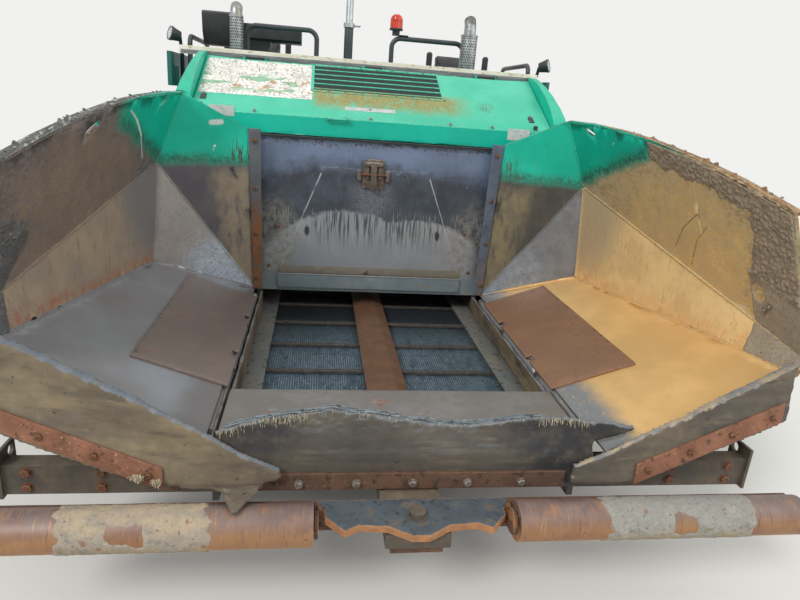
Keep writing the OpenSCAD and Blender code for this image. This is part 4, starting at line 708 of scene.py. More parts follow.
def decal_film():
    """Printed vinyl film, plain design of our own: pale ground, thin contour lines, soft patches of green"""
    f = Finish("decal_film", ("#d9d8d1", "#e6e4db", 180), 0.45)
    f.layer(f.cloud(120, 0.5, 0.66), "#cbc9c0", 0.5)
    level = f.grain(190, detail=1.2)
    rings = f.math("FRACT", f.math("MULTIPLY", level, 15.0), None)
    line = f.product(f.ramp(rings, 0.0, 0.05), f.ramp(rings, 0.14, 0.08))
    middle = f.product(f.band(UP, 1.80, 1.83, 0.02), f.band(UP, 1.93, 1.90, 0.02))
    green = f.product(f.cloud(110, 0.55, 0.57, detail=1.0, stretch=(0.6, 1, 1)), middle)
    f.layer(green, ("#7faf90", "#94bd96", 60), 0.45)
    warm = f.product(f.cloud(60, 0.60, 0.615, detail=1.0), middle, f.outside(green))
    f.layer(warm, ("#c2a57c", "#b98f63", 40), 0.45)
    f.layer(line, "#8f918a", 0.45)
    # Crazing of the old film in short curled cracks, with dirt in them
    cell = add_node(f.tree, "TexVoronoi", {"feature": "DISTANCE_TO_EDGE"},
                    {"Vector": f.place, "Scale": 1000 / 34, "Randomness": 1.0}).outputs["Distance"]
    cracks = f.product(f.ramp(cell, 0.045, 0.015), f.cloud(50, 0.40, 0.50))
    f.layer(cracks, "#77726a", 0.7)
    f.layer(f.cloud(40, 0.66, 0.68), "#8b9088", 0.6)
    f.relief(cracks, -0.5)
    f.relief(f.grain(5), 0.1)
    return f.done()


def louvre_shadow():
    """Painted shadow behind the louvre blades: very dark green, oily dust on it"""
    f = Finish("louvre_shadow", ("#0c1f1a", "#10271f", 60), 0.7)
    f.layer(f.cloud(20, 0.55, 0.7), "#1c2a24", 0.8)
    f.relief(f.grain(4), 0.2)
    return f.done()


def label_film():
    """Blank label film left on the paint: pale grey, rubbed"""
    f = Finish("blank_label", ("#b9bdba", "#a9aeac", 40), 0.5)
    f.layer(f.cloud(12, 0.6, 0.66), "#6e8c82", 0.6)
    f.relief(f.grain(3), 0.05)
    return f.done()


def vinyl(name="seat_vinyl"):
    """Black expanded vinyl on foam: leather grain of about 2 mm, softer sheen where it is sat on"""
    f = Finish(name, ("#232425", "#2c2d2e", 120), 0.48)
    f.layer(f.product(f.facing(UP, 0.3, 0.9), f.cloud(40, 0.4, 0.7)), ("#4a4640", "#3c3a37", 30), 0.7)
    f.layer(f.cloud(5, 0.66, 0.72), "#5a544b", 0.8)
    tex = add_node(f.tree, "TexVoronoi", None, {"Vector": f.place, "Scale": 1000 / 2.6})
    f.relief(tex.outputs["Distance"], 0.5)
    return f.done(**{"Sheen Weight": 0.1})


def moulded_black(name="moulded_abs", colour=("#1f2123", "#292b2d", 90)):
    """Injection-moulded ABS: fine spark-eroded grain, greyed by sun on its upper faces"""
    f = Finish(name, colour, 0.5)
    f.layer(f.facing(UP, 0.4, 0.9), ("#3f4142", "#36383a", 60), 0.65)
    f.layer(f.cloud(12, 0.66, 0.71), "#5d564b", 0.8)
    f.layer(f.edge(3), "#4d4f50", 0.45)
    f.relief(f.grain(1.6), 0.12)
    return f.done()


def pad_rubber():
    """Track pad of hard rubber: scuffed grey-black, dust in the tread"""
    f = Finish("pad_rubber", ("#302f2d", "#3b3936", 60), 0.8)
    f.layer(f.cloud(35, 0.48, 0.66), ("#6a604f", "#7a6d57", 25), 0.92)
    f.layer(f.edge(5), "#54514c", 0.85)
    f.relief(f.grain(9), 0.9)
    f.relief(f.grain(2.5), 0.4)
    return f.done()


def iron_casting(name="iron_casting", colour=("#4a4d4e", "#3e4142", 60)):
    """Sand-cast iron under grey paint and oil: rough skin, wet dark runs"""
    f = Finish(name, colour, 0.6, 0.2)
    f.layer(f.cloud(50, 0.5, 0.62, stretch=(1, 1, 0.4)), "#221f1c", 0.3, 0.1)
    f.layer(f.cloud(20, 0.62, 0.7), "#6b4a34", 0.8)
    f.relief(f.grain(3), 0.5)
    return f.done()


def bright_rod():
    """Hard-chromed piston rod: mirror with an oily haze"""
    f = Finish("hard_chrome", "#c9ccce", 0.12, 1.0)
    f.layer(f.cloud(20, 0.5, 0.7), "#9c9a92", 0.3, 0.9)
    f.relief(f.grain(6), 0.02)
    return f.done()


def glow_lens(name, colour, other, rough=0.2):
    """Moulded lens of clear plastic, coloured through"""
    f = Finish(name, (colour, other, 30), rough)
    f.layer(f.cloud(10, 0.62, 0.7), other, 0.5)
    f.relief(f.grain(4), 0.1)
    return f.done(**{"Transmission Weight": 0.25, "IOR": 1.49, "Coat Weight": 0.3})


def wear_floor():
    """Wear plates of the conveyor: bluish film, drawn by the flights into fine bright lines"""
    f = Finish("conveyor_wear_plate", ("#495b68", "#40505c", 220), 0.4, 0.35)
    # The real lines are about 3 mm apart, drawn at 12 mm so that they show
    drawn = f.lines((1.0, 0.0, 0.0), 12.0, 0.35, 0.95)
    film = f.cloud(40, 0.36, 0.56, stretch=(1, 0.3, 1))
    f.layer(f.product(drawn, film), ("#7d929c", "#93a6ad", 30), 0.32, 0.5)
    f.layer(f.product(drawn, f.cloud(14, 0.56, 0.66, stretch=(1, 0.3, 1))), "#aebbbe", 0.3, 0.5)
    f.layer(f.cloud(30, 0.55, 0.7), "#2b343b", 0.5, 0.2)
    # Darker towards the bulkhead: painted shade where the floor runs in under it
    f.layer(f.band((0, 1.0, 0), -1.75, -1.15, 0.05), "#262c31", 0.5, 0.2)
    ledge = f.band(UP, 0.452, 0.47)
    f.layer(ledge, ("#6d706e", "#7a776e", 200), 0.45, 0.35)
    f.layer(f.product(ledge, f.cloud(40, 0.55, 0.68)), "#4b4238", 0.6, 0.2)
    f.relief(f.grain(3, stretch=(1, 0.02, 1)), 0.15)
    return f.done()


FINISHES = {
    "enamel": sprayed_enamel,
    "hood_enamel": hood_enamel,
    "dark_enamel": lambda: sprayed_enamel("dark_teal_enamel", ("#1f5f5b", "#265f5a", 300), "#3f7a72"),
    "hopper_left": lambda: hopper_skin("left"),
    "hopper_right": lambda: hopper_skin("right"),
    "flange_left": lambda: flange_steel("left"),
    "flange_right": lambda: flange_steel("right"),
    "cover_left": lambda: scoured_plate("cover_plate_steel_left", "#82716a", "#786c67"),
    "cover_right": lambda: scoured_plate("cover_plate_steel_right", "#946f55", "#896650"),
    "front_plate": lambda: scoured_plate("front_plate_steel", "#878380", "#7c7773", along=(0.12, 1, 1)),
    "guard": lambda: scoured_plate("guard_steel", "#785840", "#6b4c38"),
    "wear_floor": wear_floor,
    "soot": soot_plate,
    "latch": latch_casting,
    "belting": belting,
    "flap_left": lambda: belting("flap_belting_left", "#4d463c", "#5a5146",
                                 ("#71654f", "#7f7159", 60), "#656d77"),
    "limp": lambda: belting("limp_belting", "#4d463c", "#5a5146", ("#6a5e4c", "#786a55", 40), "#5f574b"),
    "flap_right": lambda: belting("flap_belting_right", "#3e3a35", "#4a453e",
                                  ("#5c5345", "#6b604f", 60), "#a08f76"),
    "apron": lambda: belting("apron_belting", "#35322f", "#403c37", ("#514a40", "#5e5547", 60), "#5b5f63",
                             (0.12, 0.3, 1.2)),
    "plies": sheet_plies,
    "ply": ply_cord,
    "bar_rust": bar_rust,
    "brown_bar": lambda: bar_rust("brown_bar", "#5f4534", "#503a2d", "#36291f", "#7b5a41"),
    "strip_left": lambda: strip_steel("left"),
    "strip_right": lambda: strip_steel("right"),
    "roller": roller_steel,
    "dried_mix_left": lambda: dried_mix("left"),
    "dried_mix_right": lambda: dried_mix("right"),
    "crust_left": lambda: asphalt_crust("left"),
    "crust_right": lambda: asphalt_crust("right"),
    "tow_film": tow_plate_film,
    "frame": frame_enamel,
    "front_beam": lambda: frame_enamel("front_beam_enamel", ("#37332f", "#403a34", 160), 0.95, "#645545"),
    "louvre": louvre_shadow,
    "rail": rail_coat,
    "shield": heat_shield,
    "wheel_steel": lambda: bare_plate("wheel_steel", ("#5c5852", "#6d675f", 60), 0.55, 0.5),
    "chain_steel": lambda: bare_plate("chain_steel", ("#454340", "#55504a", 40), 0.5, 0.4),
    "screed_steel": lambda: bare_plate("screed_steel", ("#4c4741", "#5e574e", 110), 0.55, 0.4, "#322d28"),
    "silver_tube": lambda: bare_plate("silver_tube", ("#a5a9ab", "#b6b9ba", 90), 0.35, 0.8, "#83817c"),
    "zinc": zinc,
    "rusty_bolt": rusty_bolt,
    "cream": cream_enamel,
    "trim": grey_band,
    "decal": decal_film,
    "label": label_film,
    "vinyl": vinyl,
    "abs": moulded_black,
    "pad": pad_rubber,
    "iron": iron_casting,
    "chrome": bright_rod,
    "beacon_lens": lambda: glow_lens("beacon_lens_plastic", "#e2401f", "#c22f17"),
    "lamp_glass": lambda: glow_lens("lamp_glass", "#dfe4e6", "#c3c9cb", 0.08),
    "screen": lambda: glow_lens("screen_glass", "#141b1e", "#20292d", 0.12),
}


def finish(name):
    """The material of that finish, made the first time that it is asked for"""
    if name not in made_finishes:
        made_finishes[name] = FINISHES[name]()
    return made_finishes[name]


# Shapes

def circle(middle, side, other, radius, n):
    """Points round a middle, in the plane of two unit vectors"""
    turns = (2 * math.pi * i / n for i in range(n))
    return [middle + radius * (side * math.cos(a) + other * math.sin(a)) for a in turns]


class Shape:
    """Points and faces of one piece, in metres, each part with its own finish number"""

    def __init__(self):
        self.points = []
        self.faces = []
        self.marks = []

    def add(self, points, faces, mark=0):
        start = len(self.points)
        self.points.extend(Vector(p) for p in points)
        self.faces.extend([start + i for i in face] for face in faces)
        self.marks.extend([mark] * len(faces))

    def loft(self, rings, mark=0, closed=False):
        """Skin through rings of equally many points, with flat ends unless it closes on itself"""
        n, k = len(rings), len(rings[0])
        faces = [(i * k + j, i * k + (j + 1) % k, (i + 1) % n * k + (j + 1) % k, (i + 1) % n * k + j)
                 for i in range(n if closed else n - 1) for j in range(k)]
        if not closed:
            faces += [tuple(range(k)), tuple((n - 1) * k + j for j in range(k))]
        self.add([p for ring in rings for p in ring], faces, mark)

    def block(self, low, high, edge=0.003, mark=0, turn=None):
        """Box with chamfered edges between two opposite corners, turned about its middle"""
        low, high = Vector(map(min, low, high)), Vector(map(max, low, high))
        middle, half = (low + high) / 2, (high - low) / 2
        edge = min(edge, 0.4 * min(half) * 2)
        points, index = [], {}
        for signs in itertools.product((-1, 1), repeat=3):
            for axis in range(3):
                p = [s * (h - edge) for s, h in zip(signs, half)]
                p[axis] = signs[axis] * half[axis]
                index[signs, axis] = len(points)
                points.append(p)
        faces = [[index[s, 0], index[s, 1], index[s, 2]] for s in itertools.product((-1, 1), repeat=3)]
        for axis in range(3):
            u, v = (axis + 1) % 3, (axis + 2) % 3

            def corner(a, b, c):
                signs = [0, 0, 0]
                signs[axis], signs[u], signs[v] = a, b, c
                return tuple(signs)
            for s in (-1, 1):
                faces.append([index[corner(s, b, c), axis] for b, c in ((-1, -1), (1, -1), (1, 1), (-1, 1))])
            for b, c in itertools.product((-1, 1), repeat=2):
                one, two = corner(-1, b, c), corner(1, b, c)
                faces.append([index[one, u], index[two, u], index[two, v], index[one, v]])
        turn = turn or Matrix.Identity(3)
        self.add([turn @ Vector(p) + middle for p in points], faces, mark)

    def turned(self, at, axis, profile, n=24, mark=0):
        """Lathe shape: profile is (distance along the axis, radius), and both ends close"""
        axis = Vector(axis).normalized()
        side = axis.orthogonal().normalized()
        other = axis.cross(side)
        rings = []
        for along, radius in profile:
            rings.append(circle(Vector(at) + axis * along, side, other, max(radius, 0.0002), n))
        self.loft(rings, mark)

    def rod(self, a, b, r, n=18, mark=0, edge=0.0015):
        a, b = Vector(a), Vector(b)
        length = (b - a).length
        edge = min(edge, r * 0.4, length * 0.3)
        self.turned(a, b - a, [(0, r - edge), (edge, r), (length - edge, r), (length, r - edge)], n, mark)

    def tube(self, path, r, n=10, mark=0):
        """Round section swept along points"""
        path = [Vector(p) for p in path]
        rings, side = [], None
        for i, p in enumerate(path):
            ahead = (path[min(i + 1, len(path) - 1)] - path[max(i - 1, 0)]).normalized()
            side = ahead.orthogonal() if side is None else side - ahead * side.dot(ahead)
            side.normalize()
            other = ahead.cross(side)
            rings.append(circle(p, side, other, r, n))
        self.loft(rings, mark)

    def hexagon(self, at, axis, size=0.024, height=0.011, mark=0):
        """Bolt head on a washer; size is the width across the flats"""
        r = size / math.sqrt(3)
        self.turned(at, axis, [(0, r * 1.25), (0.0025, r * 1.25), (0.0026, r * 1.2)], 16, mark)
        self.turned(Vector(at) + Vector(axis).normalized() * 0.0026, axis,
                    [(0, r), (height * 0.8, r), (height, r * 0.82)], 6, mark)

    def bead(self, path, r=0.004, step=0.007, mark=0):
        """Weld bead with its ripples"""
        path = [Vector(p) for p in path]
        fine = []
        for a, b in zip(path, path[1:]):
            n = max(1, int((b - a).length / step))
            fine += [a.lerp(b, i / n) for i in range(n)]
        fine.append(path[-1])
        rings = []
        side = None
        for i, p in enumerate(fine):
            ahead = (fine[min(i + 1, len(fine) - 1)] - fine[max(i - 1, 0)]).normalized()
            side = ahead.orthogonal() if side is None else side - ahead * side.dot(ahead)
            side.normalize()
            other = ahead.cross(side)
            size = r * (1.0 + 0.22 * math.sin(i * 2.1) + 0.15 * noise.noise(p * 90))
            rings.append([p + size * (side * math.cos(math.pi * j / 3) + other * math.sin(math.pi * j / 3))
                          for j in range(6)])
        self.loft(rings, mark)

    def piece(self, name, body, finishes, slot, angle=35):
        """The finished object, riding on its body"""
        mesh = bpy.data.meshes.new(name)
        mesh.from_pydata([tuple(p) for p in self.points], [], self.faces)
        for key in finishes:
            mesh.materials.append(finish(key))
        mesh.polygons.foreach_set("material_index", self.marks)
        bm = bmesh.new()
        bm.from_mesh(mesh)
        bmesh.ops.recalc_face_normals(bm, faces=bm.faces)
        bm.to_mesh(mesh)
        bm.free()
        return placed(name, mesh, body, angle)


def placed(name, mesh, body, angle=35):
    """Links a mesh as a piece that rides on its body"""
    mesh.polygons.foreach_set("use_smooth", [True] * len(mesh.polygons))
    mesh.set_sharp_from_angle(angle=math.radians(angle))
    piece = bpy.data.objects.new(name, mesh)
    bpy.context.scene.collection.objects.link(piece)
    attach(piece, body)
    return piece


def rough(p, mm, seed=0.0):
    """Smooth noise from -1 to 1 whose waves are about mm long"""
    return noise.noise(Vector(p) * (1000 / mm) + Vector((seed, seed * 1.3, -seed)))


def split_long(bm, length):
    """Splits edges until none is longer than length"""
    bmesh.ops.triangulate(bm, faces=bm.faces)
    for _ in range(9):
        long = [e for e in bm.edges if e.calc_length() > length]
        if not long:
            return
        bmesh.ops.subdivide_edges(bm, edges=long, cuts=1)
        bmesh.ops.triangulate(bm, faces=[f for f in bm.faces if len(f.verts) > 3])


def dress(node, keys, edge=3.0, fine=None, dents=(), pick=None, angle=35, cut=28, source=None,
          reshape=None):
    """Stands for a CAD node: the same shape with real rounded edges, dents and its finishes.
    edge, fine and the dents are in mm; pick tells a face's finish from its middle and normal."""
    mesh = source or frame["nodes"][node].data.copy()
    mesh.name = node + "_dressed"
    bm = bmesh.new()
    bm.from_mesh(mesh)
    bmesh.ops.remove_doubles(bm, verts=bm.verts, dist=2e-5)
    bmesh.ops.dissolve_limit(bm, angle_limit=math.radians(0.4), verts=bm.verts, edges=bm.edges)
    if reshape:
        reshape(bm)
    if edge:
        sharp = [e for e in bm.edges if len(e.link_faces) == 2
                 and e.calc_face_angle(0.0) > math.radians(cut) and e.calc_length() > edge / 1000]
        bmesh.ops.bevel(bm, geom=sharp, offset=edge / 1000, segments=2, profile=0.6,
                        affect="EDGES", clamp_overlap=True)
    if fine:
        split_long(bm, fine / 1000)
        bm.normal_update()
        for v in bm.verts:
            lift = sum(size / 1000 * rough(v.co, wave, i * 7.3) for i, (size, wave) in enumerate(dents))
            v.co += v.normal * lift
    bm.normal_update()
    for face in bm.faces:
        face.material_index = pick(face.calc_center_median(), face.normal) if pick else 0
    mesh.materials.clear()
    for key in keys:
        mesh.materials.append(finish(key))
    bm.to_mesh(mesh)
    bm.free()
    piece = placed(node + "_dressed", mesh, BODY_OF[node], angle)
    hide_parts(node)
    return piece


def crust_on(shape, at, normal, nu, nv, height, mark=0, under=0.004):
    """Lumpy layer on a plate: at(u, v) is the plate's surface, raised by height and closed under it"""
    grid = [[at(i / nu, j / nv) for j in range(nv + 1)] for i in range(nu + 1)]
    points = []
    for i, row in enumerate(grid):
        for j, p in enumerate(row):
            rim = i in (0, nu) or j in (0, nv)
            points.append(p + normal * (-under if rim else height(i / nu, j / nv, p)))
    count = len(points)
    points += [p - normal * (under * 1.6) for row in grid for p in row]
    k = nv + 1
    faces = []
    for i in range(nu):
        for j in range(nv):
            a, b, c, d = i * k + j, (i + 1) * k + j, (i + 1) * k + j + 1, i * k + j + 1
            faces.append((a, b, c, d))
            faces.append((count + d, count + c, count + b, count + a))
    rim = list(range(k)) + [i * k + nv for i in range(1, nu + 1)]
    rim += [nu * k + j for j in range(nv - 1, -1, -1)] + [i * k for i in range(nu - 1, 0, -1)]
    for a, b in zip(rim, rim[1:] + rim[:1]):
        faces.append((a, b, count + b, count + a))
    shape.add(points, faces, mark)


def turn_x(degrees):
    return Matrix.Rotation(math.radians(degrees), 3, "X")


# Places that repeat the part's source, in metres

ROLLER_Y, ROLLER_Z, ROLLER_R = -3.250, 0.470, 0.070
HOUSE_FRONT, HOOD_REAR, HOUSE_REAR = -1.050, -0.450, 0.400
HOUSE_Z, HOUSE_HALF, HOOD_HALF = 2.020, 1.230, 1.112
DECK_Z, DECK_HALF, DECK_REAR = 1.350, 1.480, 1.900
SLOPE = math.atan2(0.292, 0.560)
SLOPE_NORMAL = Vector((0, -math.sin(SLOPE), math.cos(SLOPE)))
SIDE_N = Vector((0.6004, 0.0498, 0.2449)).normalized()
SIDE_D = SIDE_N.dot(Vector((1.255, -1.340, 1.400)))


def side_point(y, z):
    """Point of the right wing's upper side plate"""
    return Vector(((SIDE_D - SIDE_N.y * y - SIDE_N.z * z) / SIDE_N.x, y, z))


def wing_top(y):
    return 1.780 - 0.240 * (abs(y + 1.340) / 1.620) ** 2.2


def floor_at(x):
    return 0.625 + 0.348 * (x - 0.735)


WING = {
    "floor_front_in": Vector((0.735, -3.066, 0.625)),
    "floor_front_out": Vector((1.530, -2.960, floor_at(1.530))),
    "floor_rear_out": Vector((1.300, -1.340, floor_at(1.300))),
    "floor_rear_in": Vector((0.735, -1.160, 0.625)),
    "knee_front": side_point(-2.960, 0.956),
    "knee_rear": side_point(-1.340, 1.400),
    "top_rear": side_point(-1.340, 1.780),
    "top_in": Vector((0.765, -1.168, 1.600)),
}


def mirrored(p, s):
    return Vector((s * p[0], p[1], p[2]))


# The edge of the old mix on each wing, as (y, z) of its side plate
CRUST_EDGE = {
    "right": [(-2.09, 1.76), (-2.112, 1.644), (-2.235, 1.58), (-2.457, 1.565), (-2.572, 1.52),
              (-2.709, 1.483), (-2.731, 1.388), (-2.687, 1.252), (-2.690, 0.80), (-3.1, 0.80),
              (-3.1, 1.90), (-2.09, 1.90)],
    "left": [(-3.1, 1.36), (-2.70, 1.36), (-2.60, 1.31), (-2.555, 1.22), (-2.61, 1.11), (-2.66, 0.80),
             (-3.1, 0.80)]}
# Slots and holes through each wing's side plate: two ends and a half width
WING_HOLES = {
    "left": [((1.256, -2.365, 1.607), (1.235, -2.299, 1.644), 0.016),
             ((1.147, -1.610, 1.720), (1.132, -1.560, 1.745), 0.014)],
    "right": [((1.241, -2.333, 1.637), (1.257, -2.424, 1.614), 0.016),
              ((1.130, -1.530, 1.742), (1.145, -1.606, 1.718), 0.013)]}


def depth_in(outline, y, z):
    """How far a point lies inside an outline, in metres, and below 0 outside it"""
    nearest, inside = 9.0, False
    for (ay, az), (by, bz) in zip(outline, outline[1:] + outline[:1]):
        dy, dz = by - ay, bz - az
        t = max(0.0, min(1.0, ((y - ay) * dy + (z - az) * dz) / (dy * dy + dz * dz)))
        nearest = min(nearest, math.hypot(y - ay - t * dy, z - az - t * dz))
        if (az > z) != (bz > z) and y < ay + (z - az) * dy / dz:
            inside = not inside
    return nearest if inside else -nearest


def ruled(bm, s):
    """Turns the kick plate, two flat triangles in the source, into the ruled surface between its edges"""
    f0, f1, k0, k1 = (WING[name] for name in ("floor_front_out", "floor_rear_out", "knee_front", "knee_rear"))
    normals = (k0 - f0).cross(k1 - f0).normalized(), (k1 - f0).cross(f1 - f0).normalized()
    cuts = [((0, -2.90 + 0.08 * i, 0), (0, 1, 0)) for i in range(20)]
    cuts += [((0, 0, 0.92 + 0.08 * i), (0, 0, 1)) for i in range(6)]
    for co, no in cuts:
        plate = [f for f in bm.faces if f.calc_area() > 0.001 and abs(f.normal.x) > 0.5]
        geom = plate + [e for f in plate for e in f.edges] + [v for f in plate for v in f.verts]
        bmesh.ops.bisect_plane(bm, geom=list(dict.fromkeys(geom)), plane_co=co, plane_no=no, dist=1e-5)
    moved = set()
    for v in bm.verts:
        x, y, z = s * v.co.x, v.co.y, v.co.z
        t = (y - f0.y) / (f1.y - f0.y)
        foot, knee = f0.lerp(f1, t), k0.lerp(k1, t)
        u = (z - foot.z) / (knee.z - foot.z)
        # The two triangles stand into the hopper along their diagonal
        flat = max(f0.x - ((y - f0.y) * n.y + (z - f0.z) * n.z) / n.x for n in normals)
        if 0.005 < t < 0.995 and 0.0 < u < 1.0 and -0.002 < x - flat < 0.024:
            v.co.x += s * (foot.x + (knee.x - foot.x) * u - flat)
            moved.add(v)
    bmesh.ops.triangulate(bm, faces=[f for f in bm.faces if len(f.verts) > 3 and moved.intersection(f.verts)])
    bm.normal_update()


def pierced(node, side):
    """The wing's mesh with its slots and holes"""
    s = SIDES[side]
    normal = mirrored(SIDE_N, s)
    cutter = Shape()
    for a, b, half in WING_HOLES[side]:
        a, b = mirrored(a, s), mirrored(b, s)
        along = (b - a).normalized()
        across = normal.cross(along)
        ring = []
        for i in range(24):
            t = 2 * math.pi * (i + 0.5) / 24
            ring.append((b if math.cos(t) > 0 else a) + half * (math.cos(t) * along + math.sin(t) * across))
        cutter.loft([[p - normal * 0.02 for p in ring], [p + normal * 0.03 for p in ring]])
    mesh = bpy.data.meshes.new("slots")
    mesh.from_pydata([tuple(p) for p in cutter.points], [], cutter.faces)
    bm = bmesh.new()
    bm.from_mesh(mesh)
    bmesh.ops.recalc_face_normals(bm, faces=bm.faces)
    bm.to_mesh(mesh)
    bm.free()
    work = bpy.data.objects.new(node + "_work", frame["nodes"][node].data.copy())
    tool = bpy.data.objects.new("slots", mesh)
    for thing in (work, tool):
        bpy.context.scene.collection.objects.link(thing)
    cut = work.modifiers.new("slots", "BOOLEAN")
    cut.operation = "DIFFERENCE"
    cut.object = tool
    made = bpy.data.meshes.new_from_object(work.evaluated_get(bpy.context.evaluated_depsgraph_get()))
    bpy.data.objects.remove(work)
    bpy.data.objects.remove(tool)
    return made


def flap_point(share, h, front):
    """Point on the wing's front plate: share along its edge, height over it, distance before it, in metres"""
    a, b = WING["floor_front_in"], WING["floor_front_out"]
    p = a.lerp(b, share)
    p.y = min(a.y, p.y) if share < 0 else p.y
    return p + Vector((0.1 * h, min(h, 0) / 0.165 * 0.035 - front, h))


def slope_point(x, z, lift=0.0):
    """Point over the hood's slope at a height"""
    y = HOUSE_FRONT + 0.040 + (z - 1.728) / math.tan(SLOPE)
    return Vector((x, y, z)) + lift * SLOPE_NORMAL


class PaverSizes(bpy.types.PropertyGroup):
    """Sizes and amounts that a user would change"""
    edge: bpy.props.FloatProperty(name="Edge radius", description="Rounding of plate edges",
                                  default=3.0, min=0.5, max=8.0)
    cake: bpy.props.FloatProperty(name="Cake thickness", description="Dried mix on the rollers",
                                  default=0.006, min=0.0, max=0.009, unit="LENGTH")
    crust: bpy.props.FloatProperty(name="Crust height", description="Old mix stuck to the wings",
                                   default=0.012, min=0.0, max=0.03, unit="LENGTH")
    bolt: bpy.props.FloatProperty(name="Bolt head", description="Width across the flats of the clamp bolts",
                                  default=0.024, min=0.01, max=0.04, unit="LENGTH")
    pads: bpy.props.IntProperty(name="Track pads", description="Pads on each track",
                                default=48, min=40, max=52)
    floor: bpy.props.FloatVectorProperty(name="Floor", description="Colour of the studio floor",
                                         subtype="COLOR", size=3, default=linear("#d5d3ce")[:3])
    backdrop: bpy.props.FloatVectorProperty(name="Backdrop", description="Colour behind the machine",
                                            subtype="COLOR", size=3, default=linear("#f1f1ef")[:3])


def sizes():
    return bpy.context.scene.paver


class PAVER_OT_stage(bpy.types.Operator):
    """Camera at the photograph's angle, pale floor and soft studio light"""
    bl_idname = "paver.stage"
    bl_label = "Stage"

    def execute(self, context):
        scene = context.scene
        scene.view_settings.view_transform = "Standard"
        yaw, pitch, roll = (math.radians(a) for a in CAMERA_TURN)
        ahead = Vector((math.sin(yaw) * math.cos(pitch), math.cos(yaw) * math.cos(pitch), math.sin(pitch)))
        right = Vector((math.cos(yaw), -math.sin(yaw), 0))
        up = right.cross(ahead)
        turned = math.cos(roll) * right + math.sin(roll) * up
        right, up = turned, math.cos(roll) * up - math.sin(roll) * right
        data = bpy.data.cameras.new("camera")
        data.sensor_width = 36.0
        data.lens = CAMERA_LENS
        data.clip_end = 200.0
        camera = bpy.data.objects.new("camera", data)
        turn = Matrix((right, up, -ahead)).transposed().to_4x4()
        camera.matrix_world = Matrix.Translation(CAMERA_PLACE) @ turn
        scene.collection.objects.link(camera)
        scene.camera = camera
        # Floor
        mesh = bpy.data.meshes.new("floor")
        n, reach = 64, 60.0
        turns = (2 * math.pi * i / n for i in range(n))
        ring = [(reach * math.cos(a), reach * math.sin(a), 0) for a in turns]
        mesh.from_pydata(ring, [], [tuple(range(n))])
        floor = bpy.data.objects.new("floor", mesh)
        scene.collection.objects.link(floor)
        material = bpy.data.materials.new("studio_floor")
        material.use_nodes = True
        tree = material.node_tree
        tree.nodes.clear()
        matt = add_node(tree, "BsdfPrincipled", None, {
            "Base Color": tuple(sizes().floor) + (1,), "Roughness": 0.9, "Specular IOR Level": 0.2})
        # Far off, the floor fades into the backdrop
        place = add_node(tree, "NewGeometry").outputs["Position"]
        far = add_node(tree, "VectorMath", {"operation": "LENGTH"}, {0: place}).outputs["Value"]
        fade = add_node(tree, "MapRange", {"interpolation_type": "SMOOTHSTEP"},
                        {"Value": far, "From Min": 6.0, "From Max": 22.0}).outputs[0]
        seen = add_node(tree, "LightPath").outputs["Is Camera Ray"]
        share = add_node(tree, "Math", {"operation": "MULTIPLY"}, {0: fade, 1: seen}).outputs[0]
        glow = add_node(tree, "Emission", None, {"Color": tuple(sizes().backdrop) + (1,), "Strength": 1.0})
        mixed = add_node(tree, "MixShader", None, {0: share, 1: matt.outputs[0], 2: glow.outputs[0]})
        add_node(tree, "OutputMaterial", None, {"Surface": mixed.outputs[0]})
        mesh.materials.append(material)
        # World: soft grey light, pale where the camera and reflections see it
        world = bpy.data.worlds.new("studio")
        scene.world = world
        world.use_nodes = True
        tree = world.node_tree
        tree.nodes.clear()
        path = add_node(tree, "LightPath")
        seen = add_node(tree, "Math", {"operation": "MAXIMUM"}, {
            0: path.outputs["Is Camera Ray"], 1: path.outputs["Is Glossy Ray"]}).outputs[0]
        seen = add_node(tree, "Math", {"operation": "MAXIMUM"}, {
            0: seen, 1: path.outputs["Is Transmission Ray"]}).outputs[0]
        soft = add_node(tree, "Background", None, {"Color": (1.0, 1.0, 1.0, 1.0), "Strength": 0.76})
        pale = add_node(tree, "Background", None, {"Color": tuple(sizes().backdrop) + (1,), "Strength": 1.0})
        mixed = add_node(tree, "MixShader", None, {0: seen, 1: soft.outputs[0], 2: pale.outputs[0]})
        add_node(tree, "OutputWorld", None, {"Surface": mixed.outputs[0]})
        # Key light from the left, low and behind the camera, so that it reaches into the hopper
        for name, strength, angle, turn in (("key", 1.9, 18, (50, 0, -42)), ("fill", 1.0, 60, (58, 0, 55))):
            data = bpy.data.lights.new(name, "SUN")
            data.energy = strength
            data.angle = math.radians(angle)
            lamp = bpy.data.objects.new(name, data)
            lamp.rotation_euler = [math.radians(t) for t in turn]
            scene.collection.objects.link(lamp)
        return {"FINISHED"}


class PAVER_OT_frame(bpy.types.Operator):
    """Chassis, cross member and track frames in dusty enamel, with their bolts"""
    bl_idname = "paver.frame"
    bl_label = "Frame"

    def execute(self, context):
        for node in ("chassis", "track_frames", "auger_frame"):
            dress(node, ["frame"], sizes().edge)
        dress("cross_member", ["front_beam"], sizes().edge, 80, [(1.0, 300)])
        shape = Shape()
        for s in (-1, 1):
            # Bolts of the cross member and the tow point
            for z in (0.42, 0.48):
                for x in (0.35, 0.60, 0.85, 1.10, 1.35):
                    shape.hexagon((s * x, -2.950, z), (0, -1, 0), 0.030, 0.012)
            for a in range(6):
                turn = math.radians(a * 60)
                at = (s * 1.440, -0.600 + 0.034 * math.cos(turn), 0.670 + 0.034 * math.sin(turn))
                shape.hexagon(at, (s, 0, 0), 0.014, 0.006)
            # Plate bolts along the side plates
            for i in range(9):
                y = -0.9 + i * 0.32
                shape.hexagon((s * 0.730, y, 1.20), (s, 0, 0), 0.022, 0.010)
                shape.hexagon((s * 0.730, y, 0.30), (s, 0, 0), 0.022, 0.010)
        shape.piece("frame_bolts", "tractor", ["rusty_bolt"], "dark_frame")
        return {"FINISHED"}


